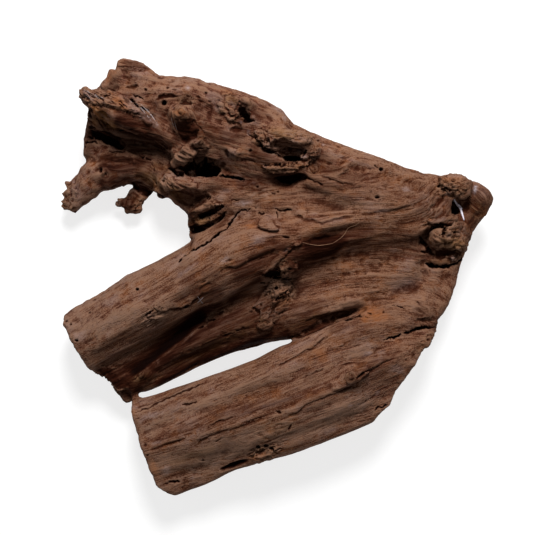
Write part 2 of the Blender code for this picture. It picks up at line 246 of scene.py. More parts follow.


# What a carver would add to the wood by hand, and the shade painted on it: places in pixels, heights and
# depths in millimetres
carving = {
    # raised pieces with an outline: height, width of the rim in pixels, swell, points
    "plates": (
        (1.4, 1.4, 0.3, ((119, 62), (136, 61), (147, 66.5), (150, 69.5), (146, 68.5), (139, 67.5),
            (132, 66.5), (119, 66))),
        (2.6, 3, 1.4, ((80, 90), (84, 88.5), (92, 91), (100, 91), (112, 94), (122, 97), (130, 102),
            (138, 109), (146, 116), (153, 124), (150, 125), (140, 119), (128, 113), (112, 107), (100, 105),
            (92, 105), (86, 102), (80, 97))),
        (3.6, 4.5, 0.3, ((171, 110), (178, 106), (186, 107), (192, 113), (198, 122), (197, 130), (190, 138),
            (183, 136), (178, 128), (174, 119))),
        (2.8, 3, 0.8, ((174, 113), (177, 109), (182, 107), (186, 109), (188, 113), (186, 116), (180, 118),
            (175, 117))),
        (2, 1.6, 0.8, ((193.5, 142), (197, 139.8), (201, 139.3), (206, 142), (209, 146), (209, 148.3),
            (200, 148.8), (194, 147))),
        (4.5, 2, 0.8, ((183, 146.5), (187, 145.5), (192, 149), (197, 151), (195, 155), (192, 160),
            (186, 163), (180, 166.5), (175, 168.5), (170.5, 165.5), (171, 162), (175, 158), (179, 153))),
        (3.4, 2.2, 1, ((163, 178), (167, 174.5), (174, 176), (182, 179.5), (190, 181), (196, 184),
            (196, 188), (186, 188.5), (175, 189.5), (166, 189.5), (160.5, 186), (160, 181))),
        (2.4, 1.8, 0.6, ((226, 97), (231, 95), (238, 97), (237, 101), (235, 105), (236, 110), (239, 115),
            (236, 118), (231, 115), (227, 108), (225, 102))),
        (1.8, 1.5, 0.4, ((243, 98.5), (247, 100), (251, 106), (253, 113), (250, 115.5), (247.5, 112),
            (247.2, 105), (244, 101))),
        (1.6, 1.5, 0.5, ((217, 104), (221, 103), (226, 110), (233, 117), (243, 120), (243, 124), (237, 123),
            (230, 120), (222, 113))),
        (1.5, 1.2, 0.5, ((221, 93), (224, 91.5), (229, 93), (228, 95.5), (222, 95.5))),
        (3.2, 2.2, 1.2, ((268, 129), (280, 129), (292, 131), (304, 133), (311, 138), (312, 143),
            (304, 143.5), (298, 145), (293, 141), (286, 139.5), (276, 139.5), (272, 142), (268, 138))),
        (2.6, 1.3, 0.6, ((256, 132), (262, 131), (268, 134), (270, 142), (271, 148), (266, 147), (260, 143),
            (255, 137))),
        (1.8, 1.5, 0.5, ((276, 152), (288, 152.5), (300, 151.5), (301, 156), (290, 157), (283, 157),
            (277, 155))),
        (3, 1.5, 0.8, ((300.5, 157), (304, 153), (308, 155.5), (306.5, 160), (301.5, 160))),
        (2.6, 1.6, 0.6, ((312, 150), (318, 148), (321, 151), (317, 157), (313, 163), (306, 168), (303, 166),
            (309, 159))),
        (3.2, 1.6, 0.5, ((262, 166), (272, 165), (284, 164.5), (300, 162), (304, 164), (300, 169),
            (290, 172.5), (278, 173), (270, 171.5))),
        (3, 1.6, 0.5, ((190, 213), (199, 210.5), (208, 209), (217, 205.5), (224, 204.5), (214, 202),
            (203, 204), (193, 209))),
        (3.4, 1.4, 0.6, ((196, 221), (204, 219.5), (211, 219), (218, 216), (225, 211), (219, 216.5),
            (212, 221), (204, 224.5), (197, 224))),
        (3.6, 3.4, 0.9, ((440, 177), (450, 175), (459, 175), (466, 178), (471, 184), (470, 192), (466, 198),
            (458, 198), (452, 192), (444, 189), (440, 184))),
        (2, 2.6, 0.4, ((430, 233), (436, 227.5), (441, 228), (444, 233), (443, 240), (444, 246),
            (441, 250.5), (436, 251), (431, 246), (429, 239))),
        (1.8, 2.4, 0.4, ((446, 233), (450, 230), (454, 234), (455, 241), (452, 247), (447, 249),
            (445, 243))),
        (2.4, 2.6, 0.4, ((455, 224), (462, 221), (469, 226), (471, 234), (468, 243), (466, 251), (459, 252),
            (455, 246), (456, 236))),
        (3, 1.6, 1, ((449, 256), (453, 254.5), (457, 257), (456, 261), (451, 261.5))),
        (3.4, 1.2, 0.5, ((429, 221), (440, 218), (450, 216.5), (456, 216), (456, 220), (446, 221.5),
            (436, 224), (430, 223.5))),
        (4.2, 1.6, 1, ((279, 267), (285, 266), (287, 262), (291, 262), (296, 265), (297, 269), (294, 273),
            (288, 277), (281, 276.5), (282, 271))),
        (3, 1.4, 0.5, ((262, 275), (266, 269), (272, 262), (278, 255.5), (284, 251.5), (290, 247),
            (295, 243.5), (300, 241.5), (302, 243), (295, 247), (288, 253), (281, 259), (274, 267),
            (267, 275))),
        (3.2, 1.4, 0.8, ((271, 281), (280, 279.5), (288, 279.5), (291.5, 284), (291, 290), (286, 295),
            (281, 297), (276, 303), (272, 310), (268, 317), (272, 322), (271, 330), (262, 330), (257, 326),
            (261, 318), (259, 310), (253, 308), (258, 301), (262, 293), (268, 287))),
        (2, 1, 0.4, ((288, 293), (291, 292), (289, 296), (283, 298), (281, 296.5))),
    ),
    # sunken places with an outline: depth, width of the rim in pixels, strength of the painted shade in
    # them, points
    "pools": (
        (5, 3.4, 0.92, ((89, 128), (100, 131), (110, 134), (118, 138.5), (126, 144.5), (122, 148),
            (112, 146.5), (104, 141.5), (96, 138), (90, 134.5))),
        (2.2, 7, 0.42, ((108, 135), (125, 137.5), (140, 139), (160, 143), (176, 146), (180, 149), (172, 150),
            (160, 153), (145, 154), (128, 152), (112, 148))),
        (0.6, 4.5, 0.66, ((177, 119), (188, 114), (194, 118), (199, 127), (197, 134), (189, 142), (181, 140),
            (177, 129))),
        (2.5, 5, 0.74, ((181, 139), (185, 133), (191, 132), (197, 133), (196, 137), (190, 141), (185, 143))),
        (2, 2.6, 0.62, ((179.5, 104.5), (183, 100), (187, 99.5), (192, 104), (187, 105), (183, 105))),
        (10, 1.8, 1, ((203, 162), (206, 159), (208, 164), (213, 164), (217, 166), (221, 170.5), (217, 176),
            (205, 177), (195, 175.5), (187, 175), (185, 172), (190, 169), (197, 167))),
        (6, 1.5, 1, ((168, 169), (172, 168.5), (177, 172), (184, 173), (184, 176), (178, 177), (172, 172))),
        (3, 2.2, 0.8, ((178, 168), (186, 164), (194, 161), (196, 166), (190, 168), (184, 171.5))),
        (3.8, 2.8, 0.76, ((241, 115.5), (248, 115), (250, 119), (254, 121), (249, 122.5), (245, 123),
            (243, 119))),
        (2, 3.4, 0.34, ((235, 104), (239, 99.5), (243, 100.5), (246.5, 105.5), (246, 113.5), (241, 114),
            (236.5, 110))),
        (3, 3.6, 0.55, ((230, 129.5), (235, 126.5), (241, 126), (242.5, 129), (239, 132), (233, 131.5))),
        (1.2, 2, 0.6, ((231, 98), (233, 95.5), (236, 97), (234, 99))),
        (3.4, 3.2, 0.36, ((273.5, 141), (286, 140.5), (295, 143.5), (304, 149), (303, 151), (290, 151),
            (279, 149), (273, 147))),
        (7, 1.4, 1, ((284, 158), (291, 157.5), (300, 157.5), (301, 160), (292, 161), (285, 160.5))),
        (3, 2.2, 0.75, ((259, 146), (264, 149), (271, 150.5), (276, 152.5), (271, 154), (263, 151))),
        (4.2, 3.2, 0.8, ((274, 178), (282, 176), (292, 175.5), (299, 173.5), (304, 176), (298, 179.5),
            (290, 183.5), (282, 182))),
        (5, 2.8, 0.8, ((198, 215), (204, 211.5), (213, 209), (222, 205.5), (224, 207), (217, 212),
            (209, 217), (200, 219.5))),
        (6, 2.8, 0.9, ((186.5, 230.5), (192, 226.5), (199, 224.5), (206, 226), (213, 223), (220, 216),
            (225, 212.5), (223, 217), (216, 223.5), (206, 230), (198, 232.5), (191, 234))),
        (3, 2.6, 0.45, ((189, 206), (196, 198), (205, 194), (210, 196), (206, 202), (199, 207),
            (192, 210.5))),
        (2.5, 3.2, 0.35, ((168, 191), (180, 191), (196, 190), (206, 192), (203, 197), (193, 203), (189, 210),
            (184, 206), (176, 198))),
        (3, 2.6, 0.8, ((131.5, 182.5), (138, 185), (147, 189), (158, 193.5), (165, 197), (158, 196),
            (146, 197.5), (138, 192), (131.5, 187))),
        (3.5, 2.2, 0.88, ((262, 276), (268, 270), (275, 270), (281, 272), (281, 276), (274, 278),
            (266, 279))),
        (6, 1.6, 0.96, ((452, 200), (455, 203), (458, 209), (459, 213), (455, 214.5), (451, 213.5),
            (451.5, 206))),
        (4.5, 2.6, 0.8, ((430, 229), (433, 226), (440, 224.8), (449, 224), (453, 222.4), (452, 225),
            (446, 227), (437, 229), (430, 232))),
        (3, 2.2, 0.62, ((444, 228), (447, 227), (445.5, 231), (444.5, 236), (442.5, 235), (443, 231))),
        (3.2, 2.4, 0.74, ((419.5, 235.5), (423, 240), (428, 246), (431, 251), (433.5, 255.5), (429, 254),
            (426, 249), (421, 242))),
        (2.6, 2.6, 0.62, ((436, 252), (444, 249), (452, 250), (460, 253), (462, 256), (455, 254), (448, 256),
            (441, 260), (436, 257))),
        (4, 3.8, 0.62, ((288, 338), (300, 333.5), (312, 326), (322, 320.5), (334, 317.5), (337, 321),
            (316, 331), (300, 337.5))),
        (1.4, 2.6, 0.42, ((334, 317), (345, 313.5), (352, 314), (346, 319), (335, 322))),
        (1.6, 2.4, 0.55, ((241, 158.5), (249, 158.5), (255, 162), (250, 162), (242, 161))),
        (1.5, 2, 0.55, ((226, 150), (228, 154), (227.5, 158), (225, 153))),
        (1.4, 2.2, 0.6, ((162, 113), (168, 110), (168.5, 113), (165, 117), (162, 116))),
    ),
    # soft painted shade over a wide place, with no form under it: strength, softness in pixels, points
    "shadows": (
        (0.4, 4, ((138, 382), (150, 364), (168, 347), (188, 331), (194, 333), (176, 351), (157, 369),
            (144, 384))),
        (0.6, 6, ((116, 114), (126, 112), (140, 117), (150, 124), (160, 134), (170, 143), (150, 142),
            (130, 138), (118, 132), (112, 124))),
        (0.45, 7, ((100, 152), (120, 150), (140, 154), (150, 160), (140, 168), (120, 172), (104, 168),
            (97, 160))),
        (0.3, 7, ((83, 108), (92, 108), (94, 130), (92, 160), (82, 164), (80, 150), (86, 128))),
        (0.45, 6, ((148, 186), (160, 190), (172, 198), (184, 208), (188, 222), (184, 236), (196, 236),
            (200, 222), (190, 204), (172, 192), (152, 182))),
        (0.55, 5, ((262, 172), (285, 170), (304, 170), (313, 178), (300, 184), (286, 189), (270, 184))),
        (0.45, 6, ((196, 120), (206, 118), (216, 126), (212, 138), (202, 138), (196, 130))),
        (0.4, 7, ((296, 238), (320, 234), (345, 234), (345, 248), (322, 251), (302, 252))),
        (0.5, 8, ((226, 268), (250, 254), (275, 243), (290, 240), (286, 256), (262, 272), (236, 284))),
        (0.34, 7, ((375, 244), (410, 246), (436, 252), (452, 262), (430, 262), (400, 256), (370, 256))),
        (0.55, 7, ((205, 352), (225, 341), (250, 333), (270, 330), (276, 340), (255, 343), (232, 350),
            (212, 359))),
        (0.6, 7, ((104, 378), (118, 370), (134, 378), (146, 388), (134, 398), (124, 402), (112, 388))),
        (0.22, 8, ((150, 362), (180, 346), (210, 332), (236, 330), (220, 344), (190, 358), (160, 372))),
        (0.35, 8, ((268, 306), (290, 304), (314, 312), (306, 326), (286, 334), (268, 328))),
        (0.25, 8, ((300, 166), (330, 170), (352, 176), (388, 186), (388, 196), (350, 192), (318, 186))),
        (0.3, 6, ((464, 205), (478, 200), (488, 204), (480, 216), (470, 222))),
        (0.48, 7, ((118, 112), (130, 110), (148, 113), (160, 128), (174, 138), (180, 147), (160, 145),
            (140, 142), (120, 134), (114, 124))),
        (0.3, 5, ((90, 124), (100, 128), (112, 132), (106, 138), (92, 134))),
        (0.62, 7, ((124, 390), (108, 372), (140, 353), (168, 330), (200, 307), (222, 300), (224, 306),
            (206, 318), (188, 332), (170, 346), (150, 362), (134, 380))),
        (0.52, 9, ((130, 394), (140, 374), (170, 350), (205, 322), (230, 308), (256, 304), (262, 320),
            (256, 338), (230, 350), (190, 366), (150, 386))),
        (0.7, 6, ((150, 386), (164, 376), (182, 366), (206, 355), (232, 343), (262, 335), (274, 338),
            (258, 347), (232, 355), (206, 367), (182, 378), (164, 388))),
        (0.7, 6, ((96, 368), (110, 366), (118, 372), (124, 384), (118, 392), (108, 382), (98, 374))),
        (0.66, 5, ((136, 386), (142, 371), (156, 361), (172, 348), (190, 334), (206, 321), (220, 311),
            (226, 314), (212, 328), (194, 344), (177, 357), (162, 369), (146, 384))),
        (0.45, 6, ((190, 292), (204, 281), (220, 284), (226, 298), (210, 304), (196, 304))),
        (0.6, 7, ((96, 155), (112, 152), (136, 156), (150, 162), (140, 174), (112, 176), (99, 168))),
        (0.52, 6, ((98, 178), (112, 173), (128, 176), (128, 188), (110, 190), (98, 190))),
        (0.45, 6, ((144, 186), (156, 188), (164, 196), (158, 200), (144, 196))),
        (0.72, 6, ((300, 242), (314, 236), (346, 233), (350, 244), (332, 256), (306, 262))),
        (0.38, 6, ((142, 98), (158, 101), (170, 122), (162, 128), (148, 113))),
        (0.42, 6, ((234, 116), (246, 114), (248, 132), (236, 134))),
        (0.5, 6, ((176, 132), (200, 126), (204, 138), (176, 146), (166, 144))),
        (0.16, 6, ((176, 174), (190, 172), (204, 176), (200, 184), (180, 184))),
        (0.28, 6, ((206, 172), (222, 170), (240, 176), (234, 186), (210, 184))),
        (0.32, 6, ((268, 188), (288, 186), (292, 198), (270, 198))),
        (0.34, 7, ((308, 164), (332, 162), (338, 186), (316, 192), (306, 180))),
        (0.38, 6, ((412, 240), (426, 243), (428, 256), (412, 256))),
        (0.26, 7, ((336, 322), (356, 316), (378, 318), (372, 332), (346, 346), (332, 342))),
        (0.24, 7, ((200, 268), (228, 264), (244, 270), (228, 286), (200, 300), (188, 294))),
        (0.22, 6, ((298, 264), (340, 262), (344, 276), (300, 282))),
        (0.26, 6, ((440, 194), (450, 194), (452, 212), (440, 212))),
        (0.34, 6, ((426, 206), (446, 208), (474, 206), (476, 226), (450, 222), (426, 222))),
        (0.26, 7, ((462, 180), (478, 182), (494, 196), (488, 212), (470, 206), (460, 196))),
        (0.48, 6, ((464, 202), (478, 200), (484, 212), (472, 220), (464, 214))),
        (0.36, 5, ((226, 97), (236, 98), (240, 108), (232, 110))),
        (0.22, 8, ((232, 262), (262, 248), (290, 244), (292, 262), (262, 276), (236, 284))),
        (0.7, 5, ((276, 330), (290, 326), (294, 338), (280, 340))),
        (0.36, 6, ((456, 206), (470, 204), (474, 240), (464, 250), (456, 226))),
        (0.24, 9, ((300, 165), (345, 165), (392, 172), (436, 184), (440, 212), (398, 202), (345, 200),
            (300, 196))),
        (0.17, 7, ((266, 186), (292, 184), (296, 198), (268, 198))),
        (0.26, 9, ((345, 243), (392, 243), (440, 246), (450, 266), (400, 262), (345, 262))),
        (0.18, 8, ((368, 300), (388, 296), (404, 306), (398, 326), (376, 328))),
        (0.18, 8, ((452, 214), (472, 212), (474, 240), (466, 258), (456, 284), (448, 282), (452, 250))),
        (0.2, 7, ((392, 330), (418, 322), (440, 322), (444, 342), (430, 352), (408, 346))),
        (0.2, 7, ((462, 198), (488, 198), (488, 216), (464, 220))),
        (0.16, 9, ((268, 392), (300, 384), (332, 378), (336, 396), (300, 410), (270, 414))),
        (0.16, 9, ((338, 372), (362, 358), (404, 356), (402, 380), (362, 392), (340, 392))),
        (0.18, 8, ((98, 150), (140, 150), (166, 156), (140, 174), (100, 172))),
        (0.2, 7, ((92, 178), (124, 176), (126, 188), (96, 194))),
        (0.2, 7, ((144, 186), (164, 188), (164, 200), (146, 198))),
        (0.18, 9, ((158, 128), (196, 140), (204, 152), (168, 152))),
        (0.34, 8, ((232, 270), (250, 260), (272, 252), (292, 244), (300, 246), (284, 260), (262, 276),
            (244, 284))),
        (0.55, 8, ((284, 256), (300, 240), (320, 232), (345, 232), (372, 226), (380, 232), (352, 242),
            (330, 248), (312, 254), (298, 276), (288, 272))),
        (0.34, 10, ((345, 232), (390, 228), (425, 232), (430, 246), (400, 248), (365, 246), (340, 250))),
        (0.5, 6, ((250, 338), (276, 326), (300, 318), (322, 312), (345, 312), (330, 320), (300, 334),
            (276, 342))),
        (0.4, 8, ((216, 304), (250, 290), (286, 300), (330, 300), (320, 314), (290, 326), (250, 344),
            (226, 344))),
        (0.45, 7, ((228, 176), (262, 172), (272, 182), (262, 196), (240, 190))),
        (0.4, 6, ((112, 184), (126, 176), (136, 178), (150, 186), (134, 186), (118, 188))),
        (0.5, 5, ((118, 204), (124, 196), (134, 190), (140, 196), (134, 206), (130, 213), (122, 211))),
        (0.35, 7, ((416, 236), (424, 232), (436, 258), (456, 262), (430, 266), (418, 254))),
        (0.42, 7, ((472, 188), (480, 184), (492, 196), (490, 208), (478, 224), (466, 244), (464, 220),
            (470, 204))),
        (0.4, 6, ((444, 198), (452, 196), (460, 204), (468, 204), (470, 216), (458, 216), (446, 214))),
        (0.36, 6, ((418, 204), (430, 198), (434, 208), (424, 216), (414, 214))),
        (0.3, 8, ((300, 182), (330, 190), (352, 190), (340, 200), (305, 196))),
        (0.38, 8, ((304, 150), (324, 148), (334, 162), (350, 170), (380, 172), (384, 180), (356, 184),
            (330, 180), (308, 172))),
        (0.45, 7, ((204, 122), (214, 124), (236, 132), (246, 124), (256, 128), (244, 140), (222, 146),
            (196, 138), (192, 130))),
        (0.38, 7, ((250, 104), (266, 106), (272, 118), (258, 124), (250, 116))),
        (0.42, 8, ((96, 154), (112, 152), (136, 156), (160, 160), (180, 168), (164, 176), (130, 178),
            (112, 178), (100, 168))),
        (0.45, 6, ((250, 140), (262, 150), (282, 160), (300, 163), (270, 164), (248, 158))),
        (0.35, 6, ((418, 300), (438, 318), (436, 330), (418, 326), (404, 330), (412, 316))),
        (0.4, 5, ((122, 62), (136, 61), (150, 69), (142, 71), (128, 68))),
        (0.36, 6, ((208, 92), (220, 92), (224, 102), (214, 104), (206, 98))),
        (0.34, 6, ((218, 208), (230, 206), (236, 214), (226, 226), (214, 232), (212, 226))),
        (0.3, 7, ((230, 192), (250, 194), (252, 202), (232, 204))),
        (0.34, 7, ((330, 322), (346, 322), (350, 332), (336, 338), (326, 332))),
        (0.36, 8, ((336, 384), (352, 372), (372, 356), (398, 348), (406, 356), (384, 372), (360, 382),
            (344, 392))),
        (0.28, 8, ((150, 440), (180, 424), (230, 408), (270, 396), (310, 388), (300, 402), (250, 416),
            (200, 434), (160, 448))),
        (0.28, 8, ((174, 262), (188, 256), (200, 272), (190, 288), (178, 284))),
        (0.32, 9, ((228, 280), (250, 266), (270, 262), (262, 276), (240, 288))),
        (0.3, 5, ((97, 108), (108, 107), (118, 114), (116, 122), (106, 120), (98, 115))),
        (0.28, 6, ((122, 88), (136, 88), (136, 104), (124, 104))),
        (0.24, 6, ((300, 370), (316, 370), (320, 382), (304, 384))),
        (0.26, 6, ((304, 388), (322, 386), (326, 398), (308, 402))),
        (0.34, 6, ((108, 362), (122, 358), (132, 368), (120, 382), (108, 376))),
        (0.26, 6, ((158, 478), (176, 480), (178, 490), (164, 492))),
        (0.26, 7, ((300, 150), (322, 152), (330, 172), (312, 176))),
    ),
    # bowls and hollows: across, down, half length, half width, turn in degrees, depth, steepness, strength
    # of the painted shade in them
    "dents": (
        (104, 118, 14, 8, -38, 3.5, 1, 0.05), (467, 206, 5, 11, -8, 2.5, 1, 0.35),
        (437, 203, 10, 14, -38, 3.5, 1, 0.15), (424, 321, 12, 3.5, 4, 3, 1, 0.45),
        (322, 240, 22, 5, 10, 3, 1, 0.45), (289, 251, 11, 5.5, 42, 3, 1.2, 0.5),
        (359, 169, 16, 6, -14, 2, 1, 0.2), (360, 262, 55, 16, 4, 2.5, 0.8, 0.05),
        (147, 189, 18, 5, -32, 3, 1, 0.5), (352, 385, 16, 3, 30, 2, 1, 0.35),
        (270, 118, 6, 3, -35, 1.5, 1, 0.3), (286, 237, 4.5, 1.6, -8, 1.8, 1.4, 0.8),
        (97, 170, 3, 3.5, 0, 1.5, 1.2, 0.5), (235, 464, 17, 3.2, 21, 3.5, 1.6, 0.9),
        (223, 165, 4, 4, 0, 1.6, 1, 0.45), (474, 192, 3, 8, -8, 1.5, 1.2, 0.2),
    ),
    # lumps: across, down, half length, half width, turn in degrees, height
    "lumps": (
        (183, 112, 8, 6, -30, 1.6), (187, 122, 9, 8, -50, 2), (283, 283, 11, 7, 10, 1),
        (232, 152, 9, 5, -10, 2), (103.4, 172.5, 2.2, 3.5, -10, 1.5), (350, 377, 6, 5, 45, 1.8),
        (138, 376, 9, 5.5, 42, 2.2), (282, 109, 8, 5, -35, 1), (346, 355, 60, 10, 25, 1.5),
        (110, 145, 9, 2.5, -12, 1.5), (216, 139, 9, 4, -38, 1), (484, 197, 8, 10, 10, 1.5),
        (150, 170, 15, 12, 0, 2), (212, 150, 7, 3, 0, 1), (270, 222, 13, 6, -5, 1.5),
        (225, 185, 16, 5, -4, 1.2), (240, 217, 14, 5, 15, 1), (285, 436, 105, 20, 19, 5),
        (350, 405, 40, 14, 25, 3), (190, 362, 75, 13, 26, -5), (122, 388, 14, 10, 40, -4),
        (110, 318, 60, 12, 31, 3), (350, 303, 22, 8, 10, 2.5), (370, 160, 60, 8, -20, 2),
        (345, 232, 50, 9, 8, -2.5), (128, 116, 26, 7, -20, -2.5), (118, 162, 20, 7, -8, -1.5),
        (320, 168, 18, 12, -30, -2), (262, 112, 16, 9, -40, -1.5), (385, 358, 18, 8, 25, -2),
        (222, 218, 14, 6, 20, -1.5),
    ),
    # raised lines: width, height, points
    "ridges": (
        (3, -1.8, ((146, 371), (158, 360), (172, 348), (186, 336))),
        (2.2, 1.5, ((187.5, 237), (203.6, 234), (215, 226.5), (223.5, 217))),
        (2.5, 1.6, ((340, 173), (344, 168), (347.7, 163), (352, 160.5), (358, 160))),
        (3.2, 1.8, ((254, 153), (266, 158), (276, 162.5), (285, 164))),
        (5.5, 2.8, ((90, 354), (103, 340), (118, 330), (134, 319), (140, 313), (158, 304), (171, 296),
            (180, 289), (192, 274))),
        (1.6, 1.8, ((173, 105.6), (170, 115), (175, 128), (181.6, 140))),
        (2, 1.6, ((451, 193), (445, 201), (436, 211.5))), (1.8, 1.4, ((449, 192), (438, 198), (428, 207))),
        (1.8, 1.4, ((452, 196), (449, 205), (446, 213))), (1.3, 1, ((244, 99), (245, 107), (246, 114))),
        (1.3, 1.2, ((248.5, 101), (249.5, 110), (251, 116))),
        (1.4, 1, ((399.6, 181.4), (405.3, 178), (409, 176.5))),
        (2.6, 1.6, ((139, 183), (150, 187.5), (159, 192), (165, 195.5))),
        (3, 1.6, ((191, 192), (197, 191.5), (204, 192))),
        (2.5, 1.4, ((133, 402.5), (150, 397.5), (178, 389), (205, 379.5), (240, 369))),
        (3, 1.6, ((196, 437), (205.4, 429.8), (208, 426), (223.6, 417.3), (236, 412))),
        (2.6, 1.2, ((302, 183), (320, 188), (345, 196), (370, 201))),
        (2, 1.2, ((414, 262), (424, 259), (440, 262.5), (452, 261))),
        (2.4, 1.4, ((355, 376), (363, 369.5), (372, 363), (384, 359))),
    ),
    # long swells that lift a side straight up: width, height, points
    "rises": (
        (14, 9, ((152, 494), (185, 503), (230, 487), (265, 475), (300, 464), (345, 447), (388, 428))),
        (8, 2.5, ((160, 182), (168, 184))), (5.5, 5, ((103, 86), (108, 80), (113, 74))),
        (3.5, 1.6, ((116, 92), (117, 84), (118, 76))),
    ),
    # steps, raised on their upper side: height, reach, undercut, strength of the painted shade below them,
    # points
    "ledges": (
        (1.4, 12, 0.6, 0.52, ((292.7, 212.5), (301, 216), (304.6, 218.5), (311.7, 219.2), (318.7, 221.3),
            (322.2, 222.4), (332.7, 218.9), (343.2, 216.8), (355, 214.8))),
        (0.8, 10, 0.25, 0.12, ((355, 214.8), (368, 213), (379.3, 210.9), (389, 210), (399.6, 207.7),
            (413, 203.9), (420.7, 199.6), (427.7, 196), (431.2, 190.5), (438, 186.3))),
        (2.6, 14, 1.4, 1, ((256.2, 225), (263.2, 228.7), (269.6, 230.8), (276.6, 230.8), (279, 228.2))),
        (2.2, 14, 0.9, 0.5, ((330, 391), (345, 387), (355, 384.8), (361, 378), (373.6, 367.2), (383, 361.5),
            (395, 357))),
        (1.4, 10, 0.5, 0.32, ((283.9, 415.5), (297, 411.4), (305.3, 403.3), (327.8, 395), (342, 390),
            (352, 387))),
        (1.2, 8, 0.5, 0.35, ((148.2, 449.6), (164.8, 443.8), (178, 439.7), (186.3, 437.2))),
        (1.5, 10, 0.5, 0.36, ((194.6, 446.3), (199.6, 439.7), (209.6, 434.7), (219.5, 431.4), (238.6, 426.4),
            (250, 421.5), (270.6, 414.5))),
        (1.4, 9, 0.8, 0.6, ((160, 313), (170, 308.5), (181, 308), (190, 305), (197, 298), (204, 292))),
        (1.8, 10, 0.8, 0.5, ((232, 269), (245, 262.4), (255.6, 257), (266, 253), (276.6, 248.3))),
        (1, 7, 0.5, 0.35, ((319.4, 174.3), (332.7, 179.2), (343.3, 183.4), (349, 183.6), (357, 185))),
        (0.9, 8, 0.4, 0.45, ((119, 68.5), (127, 68), (132, 69), (139, 71), (147, 69.5))),
        (2.2, 7, 1.5, 0.62, ((97, 127.5), (100, 130), (111, 134), (125, 138), (139, 140), (160, 144))),
        (1.4, 8, 0.8, 1, ((218, 174.4), (231, 176.4), (244, 177.6))),
        (1.4, 7, 0.6, 0.5, ((189, 160), (200, 156.5), (212, 157), (220, 161))),
        (1.4, 8, 0.6, 0.5, ((303, 321), (312, 317), (324, 313.5), (333, 311.4), (344, 309))),
        (1, 6, 0.5, 0.4, ((274, 367.2), (285.3, 361.9), (302, 352.7), (312, 348), (327.4, 335),
            (334, 332.5))),
        (1, 6, 0.4, 0.35, ((196, 97.5), (206, 101.5), (214, 104.5))),
        (1.8, 5, 1, 0.85, ((152, 189), (160, 194), (166, 197.5))),
    ),
    # cracks: width, depth, strength of the painted shade in them, points
    "cracks": (
        (1.5, 5, 1, ((257, 208), (248, 209.5), (240, 210.7), (236, 215), (227, 228), (217, 235), (204, 245),
            (191, 251.5), (184, 257))),
        (1.5, 3.5, 1, ((187, 254), (183, 257), (180, 261), (178, 264))),
        (1.3, 3, 1, ((276, 208.3), (281.5, 211.8), (285.7, 210), (291, 209.4), (294, 211))),
        (1.3, 2, 0.7, ((276.6, 211), (277.3, 217.5))), (1.5, 2, 0.8, ((258, 213.8), (265.4, 213.4))),
        (1, 1.5, 0.6, ((231, 201), (242, 199))),
        (1.7, 5, 1, ((218, 175.2), (231, 177.6), (244, 179), (243, 182))),
        (1, 1.5, 0.7, ((193, 148.5), (212, 148.5))), (1, 1.5, 0.7, ((196, 153.5), (212, 155.5))),
        (3.8, 2.2, 0.66, ((156, 100), (160, 97), (164, 96), (171, 95.6), (177.5, 96.2))),
        (1.3, 1.2, 0.5, ((119, 67.5), (127, 66.8), (132, 67.5), (139, 70), (147, 68.5))),
        (3.2, 1.8, 0.6, ((124, 87.5), (131, 86.8), (139, 86))),
        (2.2, 4, 1, ((128.7, 98.5), (134, 102), (139, 107.5))),
        (2.2, 3, 1, ((140.6, 107), (145, 109), (149, 111))),
        (1.2, 2, 0.9, ((117, 99), (122, 102), (127, 107))), (1, 1.5, 0.7, ((118, 102.5), (124, 108))),
        (0.9, 1, 0.6, ((84, 91), (90, 94), (97, 99))),
        (0.9, 1, 0.6, ((82, 95), (88, 99), (93, 104), (99, 109))),
        (1, 1.4, 0.8, ((80, 96), (84, 98), (88, 101))), (0.9, 1, 0.6, ((93, 93), (99, 97), (105, 102))),
        (0.9, 1, 0.6, ((103, 94), (110, 98), (116, 104))),
        (1.2, 1.8, 0.9, ((103, 97.5), (106, 95.5), (112, 94))),
        (1.4, 2, 0.9, ((89, 107), (92, 111), (95, 113))), (1, 1.2, 0.7, ((93, 116), (99, 122), (104, 128))),
        (0.9, 1, 0.6, ((136, 104), (144, 112), (151, 119))),
        (0.9, 1, 0.6, ((142, 106), (150, 113), (157, 121))),
        (1.3, 2, 0.9, ((132, 95), (139, 96.5), (144, 99))),
        (1.3, 2.2, 0.95, ((118, 130), (126, 129.5), (134, 130.5))),
        (1.4, 4, 1, ((85, 137), (91, 137.5), (97, 139.5))), (1.5, 4, 1, ((85, 142), (91, 142), (98, 143))),
        (1.3, 3, 0.9, ((107, 150.5), (113, 151.3), (125, 151.5))),
        (1.3, 3, 0.9, ((139, 156), (146, 159), (153, 160))),
        (1.4, 2, 0.8, ((88, 107), (90, 112), (91, 118))), (1.5, 2, 0.9, ((89, 126), (96, 128))),
        (1, 1.5, 0.7, ((151.8, 164), (153.5, 168), (154.3, 172.5))),
        (1, 1.2, 0.5, ((157, 165), (161, 163.2), (164.5, 165))),
        (1.7, 3.6, 0.85, ((247.8, 134.3), (254, 137), (260.4, 144), (266, 148.3), (273, 152.5), (278, 155.4),
            (285, 158.2))),
        (3, 7, 1, ((284, 158.4), (293.4, 160), (302, 158.5))),
        (1.4, 3, 1, ((301, 157.5), (305.4, 152.5), (308.2, 150.4))),
        (1.2, 1.4, 0.6, ((256, 133), (257.5, 137), (256, 141))),
        (1.2, 1.4, 0.6, ((263, 132), (265.5, 138), (264, 143))),
        (1.2, 1.4, 0.6, ((267.5, 134), (268.5, 141))),
        (1.3, 3, 0.95, ((262.5, 166), (273, 164.5), (283.6, 164), (294, 163), (303.2, 161))),
        (1, 1.5, 0.7, ((270, 168.5), (283, 167.5), (296, 165.5))),
        (1.9, 2.6, 0.85, ((302.5, 176.4), (315, 181.3), (324.3, 185.5))),
        (1.2, 1.2, 0.45, ((319.4, 174.3), (332.7, 179.2), (343.3, 183.4), (356.8, 185))),
        (1.1, 1.5, 0.6, ((373.7, 164.6), (378.6, 168))),
        (1.2, 1.5, 0.5, ((341, 171.8), (346, 170), (350, 168.7))),
